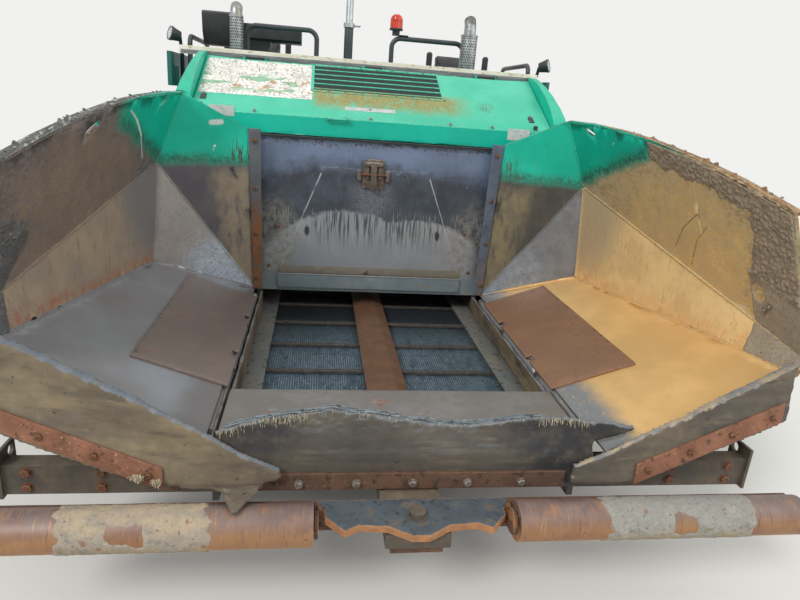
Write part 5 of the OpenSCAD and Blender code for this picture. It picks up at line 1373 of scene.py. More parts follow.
class PAVER_OT_wings(bpy.types.Operator):
    """Hopper wings: scoured skins, weld beads in the folds, old mix stuck to the plates"""
    bl_idname = "paver.wings"
    bl_label = "Hopper wings"

    def execute(self, context):
        for side, s in SIDES.items():
            body, node = "wing_" + side, "wing_" + side

            def pick(c, n):
                if n.z > 0.80 and c.z > 1.45:
                    return 1
                if n.y < -0.9 and c.y < -2.93 or abs(n.y) > 0.985 and c.z > wing_top(c.y) - 0.05:
                    return 1
                if abs(n.y) > 0.985:
                    return 2 if c.z > 0.95 else 3
                if n.dot(Vector((0, -2.2, 1.5)) - c) > 0.05:
                    return 0
                return 2 if c.z > 1.0 else 3
            dress(node, ["hopper_" + side, "flange_" + side, "enamel", "frame"], 2.5, 70,
                  [(2.2, 420), (0.9, 160)], pick, source=pierced(node, side),
                  reshape=lambda bm, s=s: ruled(bm, s))
            folds = [("floor_front_out", "floor_rear_out"), ("floor_rear_in", "floor_rear_out"),
                     ("knee_front", "knee_rear"), ("floor_rear_out", "knee_rear"),
                     ("knee_rear", "top_rear"), ("knee_rear", "floor_rear_in")]
            welds = Shape()
            for a, b in folds:
                one, two = mirrored(WING[a], s), mirrored(WING[b], s)
                thick = 0.004 if "knee_rear" in (a, b) and "floor_rear_in" in (a, b) else 0.006
                welds.bead([one.lerp(two, 0.01), one.lerp(two, 0.99)], thick, 0.012)
            welds.piece("wing_welds_" + side, body, ["hopper_" + side], "worn_steel", 60)
            self.crust(side, s, body)
            self.flange_chips(side, s, body)
        return {"FINISHED"}

    def flange_chips(self, side, s, body):
        """Clods of old mix that lie on the top flange"""
        draw = random.Random(5 + s)
        clods = Shape()
        for _ in range(46 if side == "right" else 26):
            y = draw.uniform(-2.9, -1.9) if side == "right" else draw.uniform(-2.9, -1.5)
            edge = side_point(y, wing_top(y))
            at = mirrored(edge + Vector((draw.uniform(0.008, 0.055), 0, -0.001)), s)
            r0 = draw.uniform(0.003, 0.008)
            clods.turned(at, (draw.uniform(-0.3, 0.3), draw.uniform(-0.3, 0.3), 1),
                         [(0, r0), (r0 * 0.5, r0 * 0.9), (r0 * 0.8, r0 * 0.4)], 7, 0)
        clods.piece("flange_clods_" + side, body, ["crust_" + side], "worn_steel", 60)

    def crust(self, side, s, body):
        """Gritty mix over the front of the side plate, and a plate of it over the bolted front corner"""
        amount = sizes().crust
        lumps = Shape()
        sun = side == "right"
        outline = CRUST_EDGE[side]
        y0, y1 = -2.955, -2.07 if sun else -2.52

        def at(u, v):
            y = y0 + (y1 - y0) * u
            low = 0.960 + 0.444 * (y + 2.960) / 1.620
            top = wing_top(y) - 0.012 if sun else 1.42
            return mirrored(side_point(y, low + (top - low) * v), s)

        def grit(p):
            crumb = max(0.0, 1.0 - 1.5 * noise.voronoi(p * (1000 / 19))[0][0])
            small = max(0.0, 1.0 - 1.5 * noise.voronoi(p * (1000 / 8))[0][0])
            return 0.25 + 0.25 * rough(p, 60, 2) + 0.55 * crumb + 0.3 * small

        def height(u, v, p):
            corner = p.z < 1.262 + 0.25 * (p.y + 2.69)
            wave = 0.006 * rough(p, 25) if corner else 0.025 * rough(p, 90) + 0.018 * rough(p, 28, 5)
            share = max(0.0, min(1.0, (depth_in(outline, p.y, p.z) + wave) / (0.010 if corner else 0.035)))
            lip = math.exp(-((p.z - 1.262 - 0.25 * (p.y + 2.69)) / 0.022) ** 2)
            raised = 0.35 + 0.12 * rough(p, 30, 8) + 0.1 * rough(p, 9, 3) if corner else grit(p)
            # A bare patch inside the corner's mass
            bare = max(0.0, min(1.0, (0.038 - math.hypot(p.y + 2.735, (p.z - 1.17) * 0.8)) / 0.01))
            raised = raised * (1 - bare) - 0.5 * bare + 0.9 * lip * max(0.2, grit(p))
            return share * amount * raised - 0.004 * (1 - share)
        crust_on(lumps, at, mirrored(-SIDE_N, s), 210 if sun else 90, 170 if sun else 110, height)
        # The mass goes on over the kick plate
        kick = mirrored(Vector((-0.986, -0.165, -0.007)), s)

        def below(u, v):
            share = (0.005 + (0.30 if sun else 0.34) * u / 1.62)
            foot = WING["floor_front_out"].lerp(WING["floor_rear_out"], share)
            knee = WING["knee_front"].lerp(WING["knee_rear"], share)
            return mirrored(foot.lerp(knee, 0.03 + 0.97 * v), s)

        def skin(u, v, p):
            share = max(0.0, min(1.0, (depth_in(outline, p.y, p.z) + 0.005 * rough(p, 25)) / 0.010))
            raised = 0.4 + 0.2 * rough(p, 30, 8) + 0.35 * max(0.0, grit(p) - 0.4)
            return share * amount * raised - 0.004 * (1 - share)
        crust_on(lumps, below, kick, 60, 44, skin)
        lumps.piece("wing_crust_" + side, body, ["crust_" + side], "worn_steel", 60)
        heads = Shape()
        for y, z in ((-2.765, 1.105), (-2.795, 1.13)) if sun else ((-2.70, 1.02), (-2.74, 1.12)):
            heads.hexagon(mirrored(side_point(y, z) - SIDE_N * 0.003, s), mirrored(-SIDE_N, s), 0.018, 0.010)
        heads.piece("corner_bolts_" + side, body, ["zinc"], "worn_steel")


class PAVER_OT_rubber(bpy.types.Operator):
    """Belting flaps and apron: limp edges, frayed plies, and the bars and bolts that clamp them"""
    bl_idname = "paver.rubber"
    bl_label = "Flaps and apron"

    def execute(self, context):
        for side, s in SIDES.items():
            supple("wing_flap_" + side, 9, [(3.0, 260), (1.2, 60), (0.5, 14)], "flap_" + side, self.swollen)
            dress("wing_strips_" + side, ["bar_rust", "strip_" + side], 2.0, 40, [(0.6, 90)],
                  lambda c, n: 1 if c.y > -1.3 else 0)
            bolts = Shape()
            for share in (0.22, 0.44, 0.66, 0.88):
                at = mirrored(flap_point(share, -0.122, 0.0312), s)
                bolts.hexagon(at, (s * -0.18, -1, 0.0), sizes().bolt - 0.004, 0.009)
            for z in (0.70, 0.98, 1.26, 1.54):
                bolts.hexagon((s * (0.722 + 0.012 * (z - 0.63)), -1.1795 - 0.0072 * (z - 0.63), z),
                              (0, -1, 0), 0.018, 0.008)
            bolts.piece("flap_bolts_" + side, "wing_" + side, ["rusty_bolt"], "rusty_steel")
        sheet = supple("apron", 8, [(3.5, 240), (1.5, 70), (0.6, 14)], "apron", self.fray, self.overlap())
        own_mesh(sheet)
        dress("apron_bar", ["brown_bar"], 2.0, 50, [(0.8, 120)])
        bolts = Shape()
        for i in range(-2, 3):
            bolts.hexagon((0.010 + i * 0.2047, -3.0698, 0.502), (0, -1, 0), sizes().bolt, 0.012)
        bolts.piece("apron_bolts", "tractor", ["zinc"], "rusty_steel")
        self.fibres()
        self.tongue()
        self.rags()
        return {"FINISHED"}

    def swollen(self, p, normal):
        """The flaps' free edges stand thicker behind than their solids, over the front plate's edge"""
        edge = 0.625 + 0.348 * (abs(p.x) - 0.735)
        share = max(0.0, min(1.0, (p.z - edge - 0.004) / 0.014))
        thick = 0.011 + 0.013 * max(0.0, min(1.0, (abs(p.x) - 0.88) / 0.07))
        return Vector((0, thick * share * max(0.0, min(1.0, (normal.y + 0.35) / 0.7)), 0.004 * share))

    def tongue(self):
        """Limp corner of the left flap, which has dropped onto the roller"""
        limp = Shape()
        rings = []
        for i in range(27):
            t = i / 26
            y = -3.096 - 0.206 * t
            rise = min(1.0, t * 2.0)
            z = 0.518 + 0.044 * rise * rise * (3 - 2 * rise) - 0.012 * max(0.0, t - 0.75) / 0.25
            left = -0.800 + 0.170 * min(1.0, t * 1.6) ** 0.8 + 0.020 * max(0.0, t - 0.8) / 0.2
            right = -0.520 - 0.020 * t - 0.040 * max(0.0, t - 0.6) / 0.4
            thick = 0.012 - 0.006 * t
            ring = []
            for j in range(29):
                x = left + (right - left) * j / 28
                lift = abs(0.007 * rough((x, y, 0), 60) + 0.004 * rough((x, y, 0), 22, 4))
                drop = 0.022 * t * (rough((x, 0, 0), 50, 2) - (2 * j / 28 - 1) ** 2 * 0.9)
                ring.append(Vector((x, y - drop, z + thick / 2 + lift)))
            for j in range(28, -1, -1):
                ring.append(ring[j] - Vector((0, 0.001, thick)))
            rings.append(ring)
        limp.loft(rings)
        piece = limp.piece("flap_tongue", "wing_left", ["limp"], "black_rubber", 60)
        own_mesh(piece)

    def rags(self):
        """Two tufts of worn belting threads under the left clamp"""
        draw = random.Random(23)
        loose = Shape()
        for x0, z0, count in ((-0.930, 0.574, 46), (-0.868, 0.556, 34)):
            for _ in range(count):
                base = Vector((x0 + draw.gauss(0, 0.009), -3.118 + draw.uniform(-0.006, 0.004),
                               z0 + draw.uniform(-0.004, 0.006)))
                fall = Vector((draw.gauss(0, 0.25), draw.gauss(-0.1, 0.2), -1.0)).normalized()
                fall *= draw.uniform(0.008, 0.024)
                side = Vector((draw.uniform(-1, 1), draw.uniform(-1, 1), 0)) * 0.006
                loose.tube([base, base + fall * 0.35 + side, base + fall * 0.7 - side * 0.5, base + fall],
                           draw.uniform(0.0010, 0.0022), 5)
        loose.piece("clamp_rags", "wing_left", ["ply"], "black_rubber", 60)

    def fray(self, p, normal):
        """Ragged wear along the apron's top edge"""
        worn = max(0.0, p.z - 0.655) / 0.08
        return Vector((0, 0, worn * (0.006 * rough(p, 16, 3) + 0.004 * rough(p, 6, 8))))

    def overlap(self):
        """The apron's loose end, which lies over the floor of the right wing"""
        end = Shape()
        rings = []
        for x, low, high, lean in ((0.660, 0.640, 0.731, 0.0), (0.720, 0.652, 0.729, 0.0),
                                   (0.780, 0.668, 0.720, 0.002), (0.830, 0.682, 0.709, 0.004),
                                   (0.862, 0.690, 0.700, 0.006)):
            rings.append([Vector((x, -3.037 + lean, low)), Vector((x, -3.017 + lean, low)),
                          Vector((x, -3.013 + lean, high + 0.003)), Vector((x, -3.033 + lean, high))])
        end.loft(rings)
        return end

    def fibres(self):
        """Ribbons of the worn plies along the apron's edge, and the threads that hang from its ends"""
        draw = random.Random(11)
        loose = Shape()
        for k in range(4):
            path = []
            for i in range(111):
                x = -0.655 + 0.0104 * i
                top, lean = apron_top(x)
                lift = 0.0035 + 0.0028 * math.sin(x * 38 + k * 1.9) + 0.002 * rough((x, k, 0), 45)
                y = -3.0515 + lean + 0.0048 * k + 0.0022 * rough((x, k, 9), 60)
                path.append((x, y, top + 0.0006 * k + lift))
            loose.tube(path, 0.0021 + 0.0004 * (k % 2), 6, 0)
        for x0, x1, count in ((-0.68, -0.36, 120), (-0.36, 0.48, 70), (0.48, 0.66, 70)):
            for _ in range(count):
                x = x0 + (x1 - x0) * draw.random()
                top, lean = apron_top(x)
                base = Vector((x, -3.056 + lean + draw.uniform(0.0, 0.010), top - draw.uniform(0.0, 0.010)))
                fall = Vector((draw.uniform(-0.6, 0.6), -1.0, draw.uniform(-1.2, 0.5))).normalized()
                length = draw.uniform(0.004, 0.012) if x0 == -0.36 else draw.uniform(0.006, 0.026)
                mid = base + fall * length * 0.5 + Vector((0, 0, 0.004))
                loose.tube([base, mid, base + fall * length - Vector((0, 0, length * 0.5))],
                           draw.uniform(0.0005, 0.0010), 5, 1)
        loose.piece("apron_fray", "tractor", ["plies", "ply"], "black_rubber", 60)


def apron_top(x):
    """Height and lean of the apron's top edge at x, from its sections"""
    parts = [(-0.690, 0.690, 0.020), (-0.538, 0.732, 0.036), (-0.290, 0.765, 0.050), (-0.124, 0.746, 0.044),
             (0.097, 0.712, 0.040), (0.221, 0.708, 0.040), (0.428, 0.736, 0.040), (0.587, 0.742, 0.030),
             (0.690, 0.728, 0.016)]
    for (xa, za, la), (xb, zb, lb) in zip(parts, parts[1:]):
        if x <= xb:
            t = max(0.0, (x - xa) / (xb - xa))
            return za + (zb - za) * t, la + (lb - la) * t
    return parts[-1][1:]


def supple(node, voxel, dents, key, extra=None, more=None):
    """Stands for a rubber sheet: its solid remeshed finely, rounded and waved. Sizes in mm."""
    source = frame["nodes"][node]
    work = bpy.data.objects.new(node + "_work", source.data.copy())
    if more:
        bm = bmesh.new()
        bm.from_mesh(work.data)
        points = [bm.verts.new(p) for p in more.points]
        for face in more.faces:
            bm.faces.new([points[i] for i in face])
        bmesh.ops.recalc_face_normals(bm, faces=bm.faces)
        bm.to_mesh(work.data)
        bm.free()
    bpy.context.scene.collection.objects.link(work)
    remesh = work.modifiers.new("remesh", "REMESH")
    remesh.mode = "VOXEL"
    remesh.voxel_size = voxel / 1000
    smooth = work.modifiers.new("smooth", "SMOOTH")
    smooth.factor = 0.6
    smooth.iterations = 2
    mesh = bpy.data.meshes.new_from_object(work.evaluated_get(bpy.context.evaluated_depsgraph_get()))
    bpy.data.objects.remove(work)
    mesh.name = node + "_supple"
    for v in mesh.vertices:
        # A sheet bends as one: both faces of it move the same way
        p = v.co.copy()
        bend = sum(size / 1000 * rough((p.x, p.z, 0), wave, 4.1 * i)
                   for i, (size, wave) in enumerate(dents) if wave > 100)
        skin = sum(size / 1000 * rough(p, wave, 4.1 * i)
                   for i, (size, wave) in enumerate(dents) if wave <= 100)
        v.co += Vector((0, bend, 0)) + v.normal * skin
        if extra:
            v.co += extra(p, v.normal)
    mesh.materials.clear()
    mesh.materials.append(finish(key))
    piece = placed(node + "_sheet", mesh, BODY_OF[node], 50)
    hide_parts(node)
    return piece


class PAVER_OT_hopper_front(bpy.types.Operator):
    """Front plate, cover plates and their rubber seals"""
    bl_idname = "paver.hopper_front"
    bl_label = "Hopper front"

    def execute(self, context):
        dress("front_plate", ["front_plate"], 3.0, 60, [(1.2, 260)])
        for side, s in SIDES.items():
            dress("cover_plate_" + side, ["cover_" + side], 2.5, 60, [(1.4, 320)])
            seal = Shape()
            # Rubber lip between the wing and the front plate
            path = [(s * 0.7165, -2.99 + 0.11 * i, 0.6120 + 0.0015 * math.sin(i * 1.7)) for i in range(5)]
            seal.tube(path, 0.005, 10)
            lip = seal.piece("front_seal_" + side, "tractor", ["belting"], "black_rubber", 60)
            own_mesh(lip)
        return {"FINISHED"}


class PAVER_OT_conveyor(bpy.types.Operator):
    """Conveyor floor, guard, chains and shafts, with a rubber skirt along each side of the well"""
    bl_idname = "paver.conveyor"
    bl_label = "Conveyor"

    def execute(self, context):
        dress("conveyor_floor", ["wear_floor"], 2.0)
        dress("centre_guard", ["guard"], 2.5, 60, [(1.0, 200)])
        dress("conveyor_chains", ["chain_steel"], 1.5)
        dress("conveyor_shafts", ["chain_steel"], 1.5)
        for side, s in SIDES.items():
            # Rubber skirt along the top of the well
            seal, rings = Shape(), []
            for i in range(40):
                y = -2.53 + i * 0.0362
                wave = 0.004 * math.sin(i * 0.9) + 0.003 * rough((s, y, 0), 60)
                x = s * (0.699 + 0.2 * wave)
                rings.append([Vector((x, y, 0.500)), Vector((x - s * 0.008, y, 0.500)),
                              Vector((x - s * (0.010 + wave), y, 0.600 + wave)),
                              Vector((x, y, 0.602 + wave))])
            seal.loft(rings)
            skirt = seal.piece("well_seal_" + side, "tractor", ["belting"], "black_rubber", 50)
            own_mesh(skirt)
        return {"FINISHED"}


class PAVER_OT_bulkhead(bpy.types.Operator):
    """Bulkhead with its soot, seal and latch"""
    bl_idname = "paver.bulkhead"
    bl_label = "Bulkhead"

    def execute(self, context):
        dress("bulkhead", ["soot"], 2.5, 60, [(1.2, 300)])
        dress("hatch_latch", ["latch"], 3.5, 12, [(1.2, 30)])
        shape = Shape()
        for x, z in ((-0.60, 1.02), (0.60, 1.02), (-0.655, 0.76), (0.655, 0.76)):
            shape.hexagon((x, -1.090, z), (0, -1, 0), 0.016, 0.006)
        # Blanked hole beside the latch
        rim = [(0, 0.019), (0.0012, 0.018), (0.0013, 0.012)]
        shape.turned((0.181, -1.098, 1.363), (0, -1, 0), rim, 24, 2)
        # Black seal under the hood's band
        rings = []
        for i in range(61):
            x = -0.735 + i * 0.0245
            z = 1.562 + 0.0015 * rough((x, 0, 0), 80)
            rings.append([Vector((x, -1.091, z)), Vector((x, -1.112, z + 0.002)),
                          Vector((x, -1.114, z + 0.013)), Vector((x, -1.091, z + 0.015))])
        shape.loft(rings, 1)
        # Lip weld
        shape.bead([(-0.60, -1.1045, 0.713), (0.60, -1.1045, 0.713)], 0.004, 0.012, 2)
        shape.piece("bulkhead_trim", "tractor", ["rusty_bolt", "abs", "soot"], "soot_steel")
        self.lever()
        return {"FINISHED"}

    def lever(self):
        """Cap, hanging lever, side lugs and bolts of the latch"""
        shape = Shape()
        shape.block((-0.078, -1.140, 1.418), (0.038, -1.113, 1.452), 0.009)
        shape.block((-0.066, -1.128, 1.444), (0.026, -1.112, 1.468), 0.006)
        rings = []
        for z, half, y in ((1.430, 0.017, -1.146), (1.380, 0.015, -1.148), (1.330, 0.018, -1.146),
                           (1.296, 0.024, -1.140), (1.284, 0.020, -1.136)):
            rings.append([Vector((-0.020 + half * across, y + back, z))
                          for across, back in ((-1, 0), (1, 0), (0.8, 0.016), (-0.8, 0.016))])
        shape.loft(rings)
        for t in (-1, 1):
            x = -0.020 + t * 0.088
            shape.block((x - 0.014, -1.122, 1.330), (x + 0.014, -1.108, 1.400), 0.005)
            for z in (1.318, 1.440):
                shape.hexagon((-0.020 + t * 0.052, -1.1155, z), (0, -1, 0), 0.014, 0.008, 1)
        shape.rod((-0.095, -1.131, 1.372), (0.055, -1.131, 1.372), 0.008, 16, 1)
        shape.piece("latch_parts", "tractor", ["latch", "rusty_bolt"], "soot_steel", 40)


class PAVER_OT_push_rollers(bpy.types.Operator):
    """Push beam, tow plate and rollers, with dried mix caked on the rollers"""
    bl_idname = "paver.push_rollers"
    bl_label = "Push rollers"

    def execute(self, context):
        dress("push_beam", ["tow_film", "brown_bar"], 4.0, 50, [(1.0, 120)],
              lambda c, n: 0 if abs(c.x) < 0.331 and c.z > 0.47 else 1)
        shape = Shape()
        for s in (-1, 1):
            for z in (0.437, 0.505):
                shape.hexagon((s * 0.330, -3.215, z), (-s, 0, 0), 0.020, 0.010)
            for x in (0.42, 0.75, 1.10, 1.40):
                shape.hexagon((s * x, -3.174, 0.444), (0, -1, 0), 0.022, 0.010)
        shape.piece("push_beam_bolts", "push_beam", ["rusty_bolt"], "rusty_steel")
        for side, s in SIDES.items():
            dress("push_roller_" + side, ["roller"], 4.0)
            self.cake(side, s)
        return {"FINISHED"}

    def cake(self, side, s):
        x0, x1 = 0.365, 1.405
        # Ends of the cake, and of the bare patch in it
        low, high, bare0, bare1 = {"right": (0.645, 1.225, 0.905, 0.975),
                                   "left": (0.66, 1.13, 0.870, 0.960)}[side]
        rings = []
        n, around = 190, 84
        for i in range(n + 1):
            x = x0 + (x1 - x0) * i / n
            ring = []
            for j in range(around):
                a = 2 * math.pi * j / around
                p = Vector((s * x, ROLLER_R * math.cos(a), ROLLER_R * math.sin(a)))
                inside = min(x - low, high - x) + 0.035 * rough(p, 90, 3 + s) + 0.018 * rough(p, 30, 7)
                # A patch where the cake has come off the front
                front = ROLLER_R * abs((a - math.pi * 0.90 + math.pi) % (2 * math.pi) - math.pi)
                bare = max(abs(x - (bare0 + bare1) / 2) - (bare1 - bare0) / 2, front - 0.026)
                inside = min(inside, bare + 0.02 * rough(p, 40, 8))
                share = max(0.0, min(1.0, inside / 0.012))
                lump = 0.45 + 0.3 * rough(p, 50, 1 + s) + 0.25 * rough(p, 16, 2) + 0.16 * rough(p, 7, 6)
                lump += max(0.0, math.sin(a)) * 0.5 * max(0.0, 1.0 - 1.4 * noise.voronoi(p * 60)[0][0])
                r = ROLLER_R + share * sizes().cake * max(0.1, lump) - 0.003 * (1 - share)
                ring.append(Vector((s * x, ROLLER_Y + r * math.cos(a), ROLLER_Z + r * math.sin(a))))
            rings.append(ring)
        cake = Shape()
        cake.loft(rings)
        cake.piece("roller_cake_" + side, "push_roller_" + side, ["dried_mix_" + side], "rusty_steel", 60)


class PAVER_OT_hood(bpy.types.Operator):
    """Hood with its film, latches, labels and louvre back"""
    bl_idname = "paver.hood"
    bl_label = "Hood"

    def execute(self, context):
        dress("hood", ["hood_enamel", "abs"], 3.0, 90, [(0.9, 400)],
              lambda c, n: 1 if c.z > 2.012 and c.y > -0.48 else 0)
        self.film()
        shape = Shape()
        # Dark back between the louvre blades, a painted shadow of the openings, and a pressed frame round
        # them
        self.strip(shape, -0.402, 0.434, 1.852, 2.004, 0.0012, 4)
        for x0, x1, z0, z1 in ((-0.422, -0.404, 1.846, 2.010), (0.436, 0.454, 1.846, 2.010),
                               (-0.422, 0.454, 1.838, 1.848), (-0.422, 0.454, 2.008, 2.014)):
            self.strip(shape, x0, x1, z0, z1, 0.004, 0)
        for i in range(9):
            x = -0.413 + i * 0.108
            for z in (1.843, 2.011):
                shape.turned(slope_point(x, z, 0.006), SLOPE_NORMAL,
                             [(0, 0.007), (0.002, 0.007), (0.003, 0.004)], 12, 2)
        # Small latches on the fold and rivets of the handle
        for x in (-1.060, 1.001):
            self.strip(shape, x - 0.016, x + 0.016, 1.748, 1.772, 0.006, 1)
            self.strip(shape, x - 0.010, x + 0.010, 1.772, 1.780, 0.010, 2)
            shape.block((x - 0.014, -1.062, 1.706), (x + 0.014, -1.049, 1.732), 0.004, 1)
        for x in (-0.75, -0.05, 0.45, 0.72):
            shape.turned((x, -1.049, 1.706), (0, -1, 0), [(0, 0.009), (0.003, 0.009), (0.005, 0.005)], 14, 2)
        # White marking strip on the slope's foot
        self.strip(shape, -0.207, 0.108, 1.743, 1.762, 0.0012, 3)
        shape.turned(slope_point(-0.050, 1.753, 0.001), SLOPE_NORMAL,
                     [(0, 0.008), (0.003, 0.008), (0.005, 0.004)], 14, 2)
        shape.piece("hood_trim", "hood", ["hood_enamel", "abs", "zinc", "label", "louvre"], "teal_paint")
        labels = Shape()
        for x0, x1, z0, z1 in ((-1.011, -0.867, 1.662, 1.722), (0.824, 0.968, 1.635, 1.705)):
            labels.block((x0, -1.0512, z0), (x1, -1.0494, z1), 0.0004)
        labels.piece("hood_labels", "hood", ["label"], "teal_paint")
        return {"FINISHED"}

    def strip(self, shape, x0, x1, z0, z1, thick, mark):
        low = [slope_point(x0, z0, -0.002), slope_point(x0, z0, thick), slope_point(x0, z1, thick),
               slope_point(x0, z1, -0.002)]
        high = [p + Vector((x1 - x0, 0, 0)) for p in low]
        shape.loft([low, high], mark)

    def film(self):
        """Printed film, its edge a little lifted and torn"""
        shape = Shape()
        x0, x1, z0, z1 = -1.098, -0.412, 1.787, 2.004
        n, k = 80, 34
        top = []
        for i in range(n + 1):
            for j in range(k + 1):
                u, v = i / n, j / k
                rim = min(u, 1 - u, v, 1 - v)
                p = slope_point(x0 + (x1 - x0) * u, z0 + (z1 - z0) * v)
                lift = 0.0011 + 0.0008 * max(0.0, rough(p, 60))
                lift += 0.0015 * max(0, rough(p, 30, 3)) if rim < 0.02 else 0
                edge = 0.0035 * rough(p, 22, 6) if rim == 0 else 0.0
                top.append(slope_point(p.x + (edge if u in (0, 1) else 0),
                                       p.z + (edge if v in (0, 1) else 0), lift))
        faces = [(i * (k + 1) + j, (i + 1) * (k + 1) + j, (i + 1) * (k + 1) + j + 1, i * (k + 1) + j + 1)
                 for i in range(n) for j in range(k)]
        count = len(top)
        down = 0.0016 * SLOPE_NORMAL
        points = top + [p - down for p in top]
        faces += [tuple(count + i for i in reversed(face)) for face in faces]
        rim = [j for j in range(k + 1)] + [i * (k + 1) + k for i in range(1, n + 1)]
        rim += [n * (k + 1) + j for j in range(k - 1, -1, -1)] + [i * (k + 1) for i in range(n - 1, 0, -1)]
        faces += [(a, b, count + b, count + a) for a, b in zip(rim, rim[1:] + rim[:1])]
        shape.add(points, faces)
        shape.piece("hood_film", "hood", ["decal"], "teal_paint", 60)


class PAVER_OT_house(bpy.types.Operator):
    """Engine house, side doors, cowl strip and what shows of the engine"""
    bl_idname = "paver.house"
    bl_label = "Engine house"

    def execute(self, context):
        dress("engine_house", ["enamel", "frame"], 3.0, 120, [(0.8, 500)],
              lambda c, n: 1 if abs(c.x) < 0.9 and c.y < -0.98 else 0)
        for side, s in SIDES.items():
            dress("side_door_" + side, ["enamel"], 3.0, 90, [(1.0, 350)])
            shape = Shape()
            # Grille with blades, inside its frame
            x = s * 1.2345
            for i in range(22):
                z = 1.00 + i * 0.018
                turn = Matrix.Rotation(math.radians(-s * 28), 3, "Y")
                shape.block((x - 0.006, -0.55, z - 0.006), (x + 0.006, 0.04, z + 0.006), 0.001, 0, turn)
            for y0, y1, z0, z1 in ((-0.57, -0.55, 0.98, 1.41), (0.04, 0.06, 0.98, 1.41),
                                   (-0.57, 0.06, 0.97, 0.985), (-0.57, 0.06, 1.405, 1.42)):
                shape.block((x - 0.004, y0, z0), (x + 0.010, y1, z1), 0.002, 1)
            # Recessed handle with its lever
            shape.turned((s * 1.232, 0.105, 1.19), (s, 0, 0), [(0, 0.045), (0.004, 0.045), (0.006, 0.040),
                                                             (0.003, 0.034), (0.003, 0.01)], 28, 2)
            shape.block((s * 1.236, 0.095, 1.155), (s * 1.250, 0.115, 1.225), 0.003, 0)
            for y in (-0.94, -0.6, -0.25, 0.13):
                for z in (0.895, 1.485):
                    shape.hexagon((s * 1.234, y, z), (s, 0, 0), 0.013, 0.006, 2)
            shape.piece("side_door_trim_" + side, "side_door_" + side,
                        ["abs", "enamel", "zinc"], "teal_paint")
        dress("cowl_strip", ["cream"], 3.0, 80, [(1.2, 260)])
        shape = Shape()
        # Grey band under the fold, and its screws
        shape.block((-1.290, -0.4130, 2.024), (1.182, -0.4085, 2.046), 0.001, 0)
        for i in range(14):
            shape.turned((-1.26 + i * 0.18, -0.413, 2.035), (0, -1, 0),
                         [(0, 0.006), (0.002, 0.006), (0.003, 0.003)], 10, 1)
        shape.piece("cowl_band", "tractor", ["trim", "zinc"], "cream_paint")
        self.engine()
        return {"FINISHED"}

    def engine(self):
        dress("engine", ["iron"], 6.0)
        shape = Shape()
        for s in (-1, 1):
            for i in range(6):
                y = -0.68 + i * 0.15
                shape.turned((s * 0.352, y, 1.45), (s, 0, 0),
                             [(0, 0.045), (0.05, 0.040), (0.07, 0.028)], 18, 0)
                shape.block((s * 0.35, y - 0.05, 0.90), (s * 0.37, y + 0.05, 1.30), 0.008, 0)
            shape.rod((s * 0.41, -0.75, 1.56), (s * 0.41, 0.16, 1.56), 0.038, 20, 0, 0.006)
            shape.turned((s * 0.40, 0.05, 0.92), (0, 0, 1),
                         [(0, 0.055), (0.01, 0.06), (0.17, 0.06), (0.19, 0.05)], 24, 1)
        shape.piece("engine_details", "tractor", ["iron", "silver_tube"], "engine_iron")


class PAVER_OT_platform(bpy.types.Operator):
    """Deck, tanks and side panels"""
    bl_idname = "paver.platform"
    bl_label = "Platform"

    def execute(self, context):
        dress("deck", ["frame"], 3.0)
        dress("side_tanks", ["enamel"], 8.0, 120, [(1.2, 400)])
        dress("side_panels", ["dark_enamel"], 4.0, 120, [(1.5, 350)])
        shape = Shape()
        # Raised bars of the tread plate, drawn coarser than the usual 30 mm pattern
        for ix in range(-36, 37):
            for iy in range(36):
                x, y = ix * 0.04, 0.425 + iy * 0.04
                if abs(x) > 1.44 or y > 1.86:
                    continue
                a = math.radians(45 if (ix + iy) % 2 else -45)
                ahead, side = Vector((math.cos(a), math.sin(a), 0)), Vector((-math.sin(a), math.cos(a), 0))
                base = Vector((x, y, DECK_Z))
                ring = [base - ahead * 0.013, base + side * 0.0035,
                        base + ahead * 0.013, base - side * 0.0035]
                top = [base + (p - base) * 0.6 + Vector((0, 0, 0.002)) for p in ring]
                low = [p - Vector((0, 0, 0.001)) for p in ring]
                points = low + top
                faces = [(4, 5, 6, 7), (3, 2, 1, 0)]
                faces += [(i, (i + 1) % 4, 4 + (i + 1) % 4, 4 + i) for i in range(4)]
                shape.add(points, faces)
        shape.piece("deck_tread", "tractor", ["frame"], "dark_frame")
        shape = Shape()
        for s in (-1, 1):
            # Filler cap and strap of each tank
            cap = [(0, 0.055), (0.012, 0.055), (0.016, 0.047), (0.034, 0.047), (0.038, 0.040)]
            shape.turned((s * 1.229, 1.55, 1.20), (s, 0, 0), cap, 28, 0)
            for y in (0.62, 1.36):
                shape.block((s * 1.2305, y - 0.03, 0.76), (s * 1.238, y + 0.03, 1.32), 0.002, 1)
                for z in (0.80, 1.28):
                    shape.hexagon((s * 1.238, y, z), (s, 0, 0), 0.018, 0.009, 2)
            for y in (0.45, 1.15):
                for z in (1.84, 1.93, 2.03):
                    shape.hexagon((s * 1.530, y, z), (s, 0, 0), 0.016, 0.007, 2)
        shape.piece("tank_trim", "tractor", ["abs", "frame", "zinc"], "dark_frame")
        return {"FINISHED"}


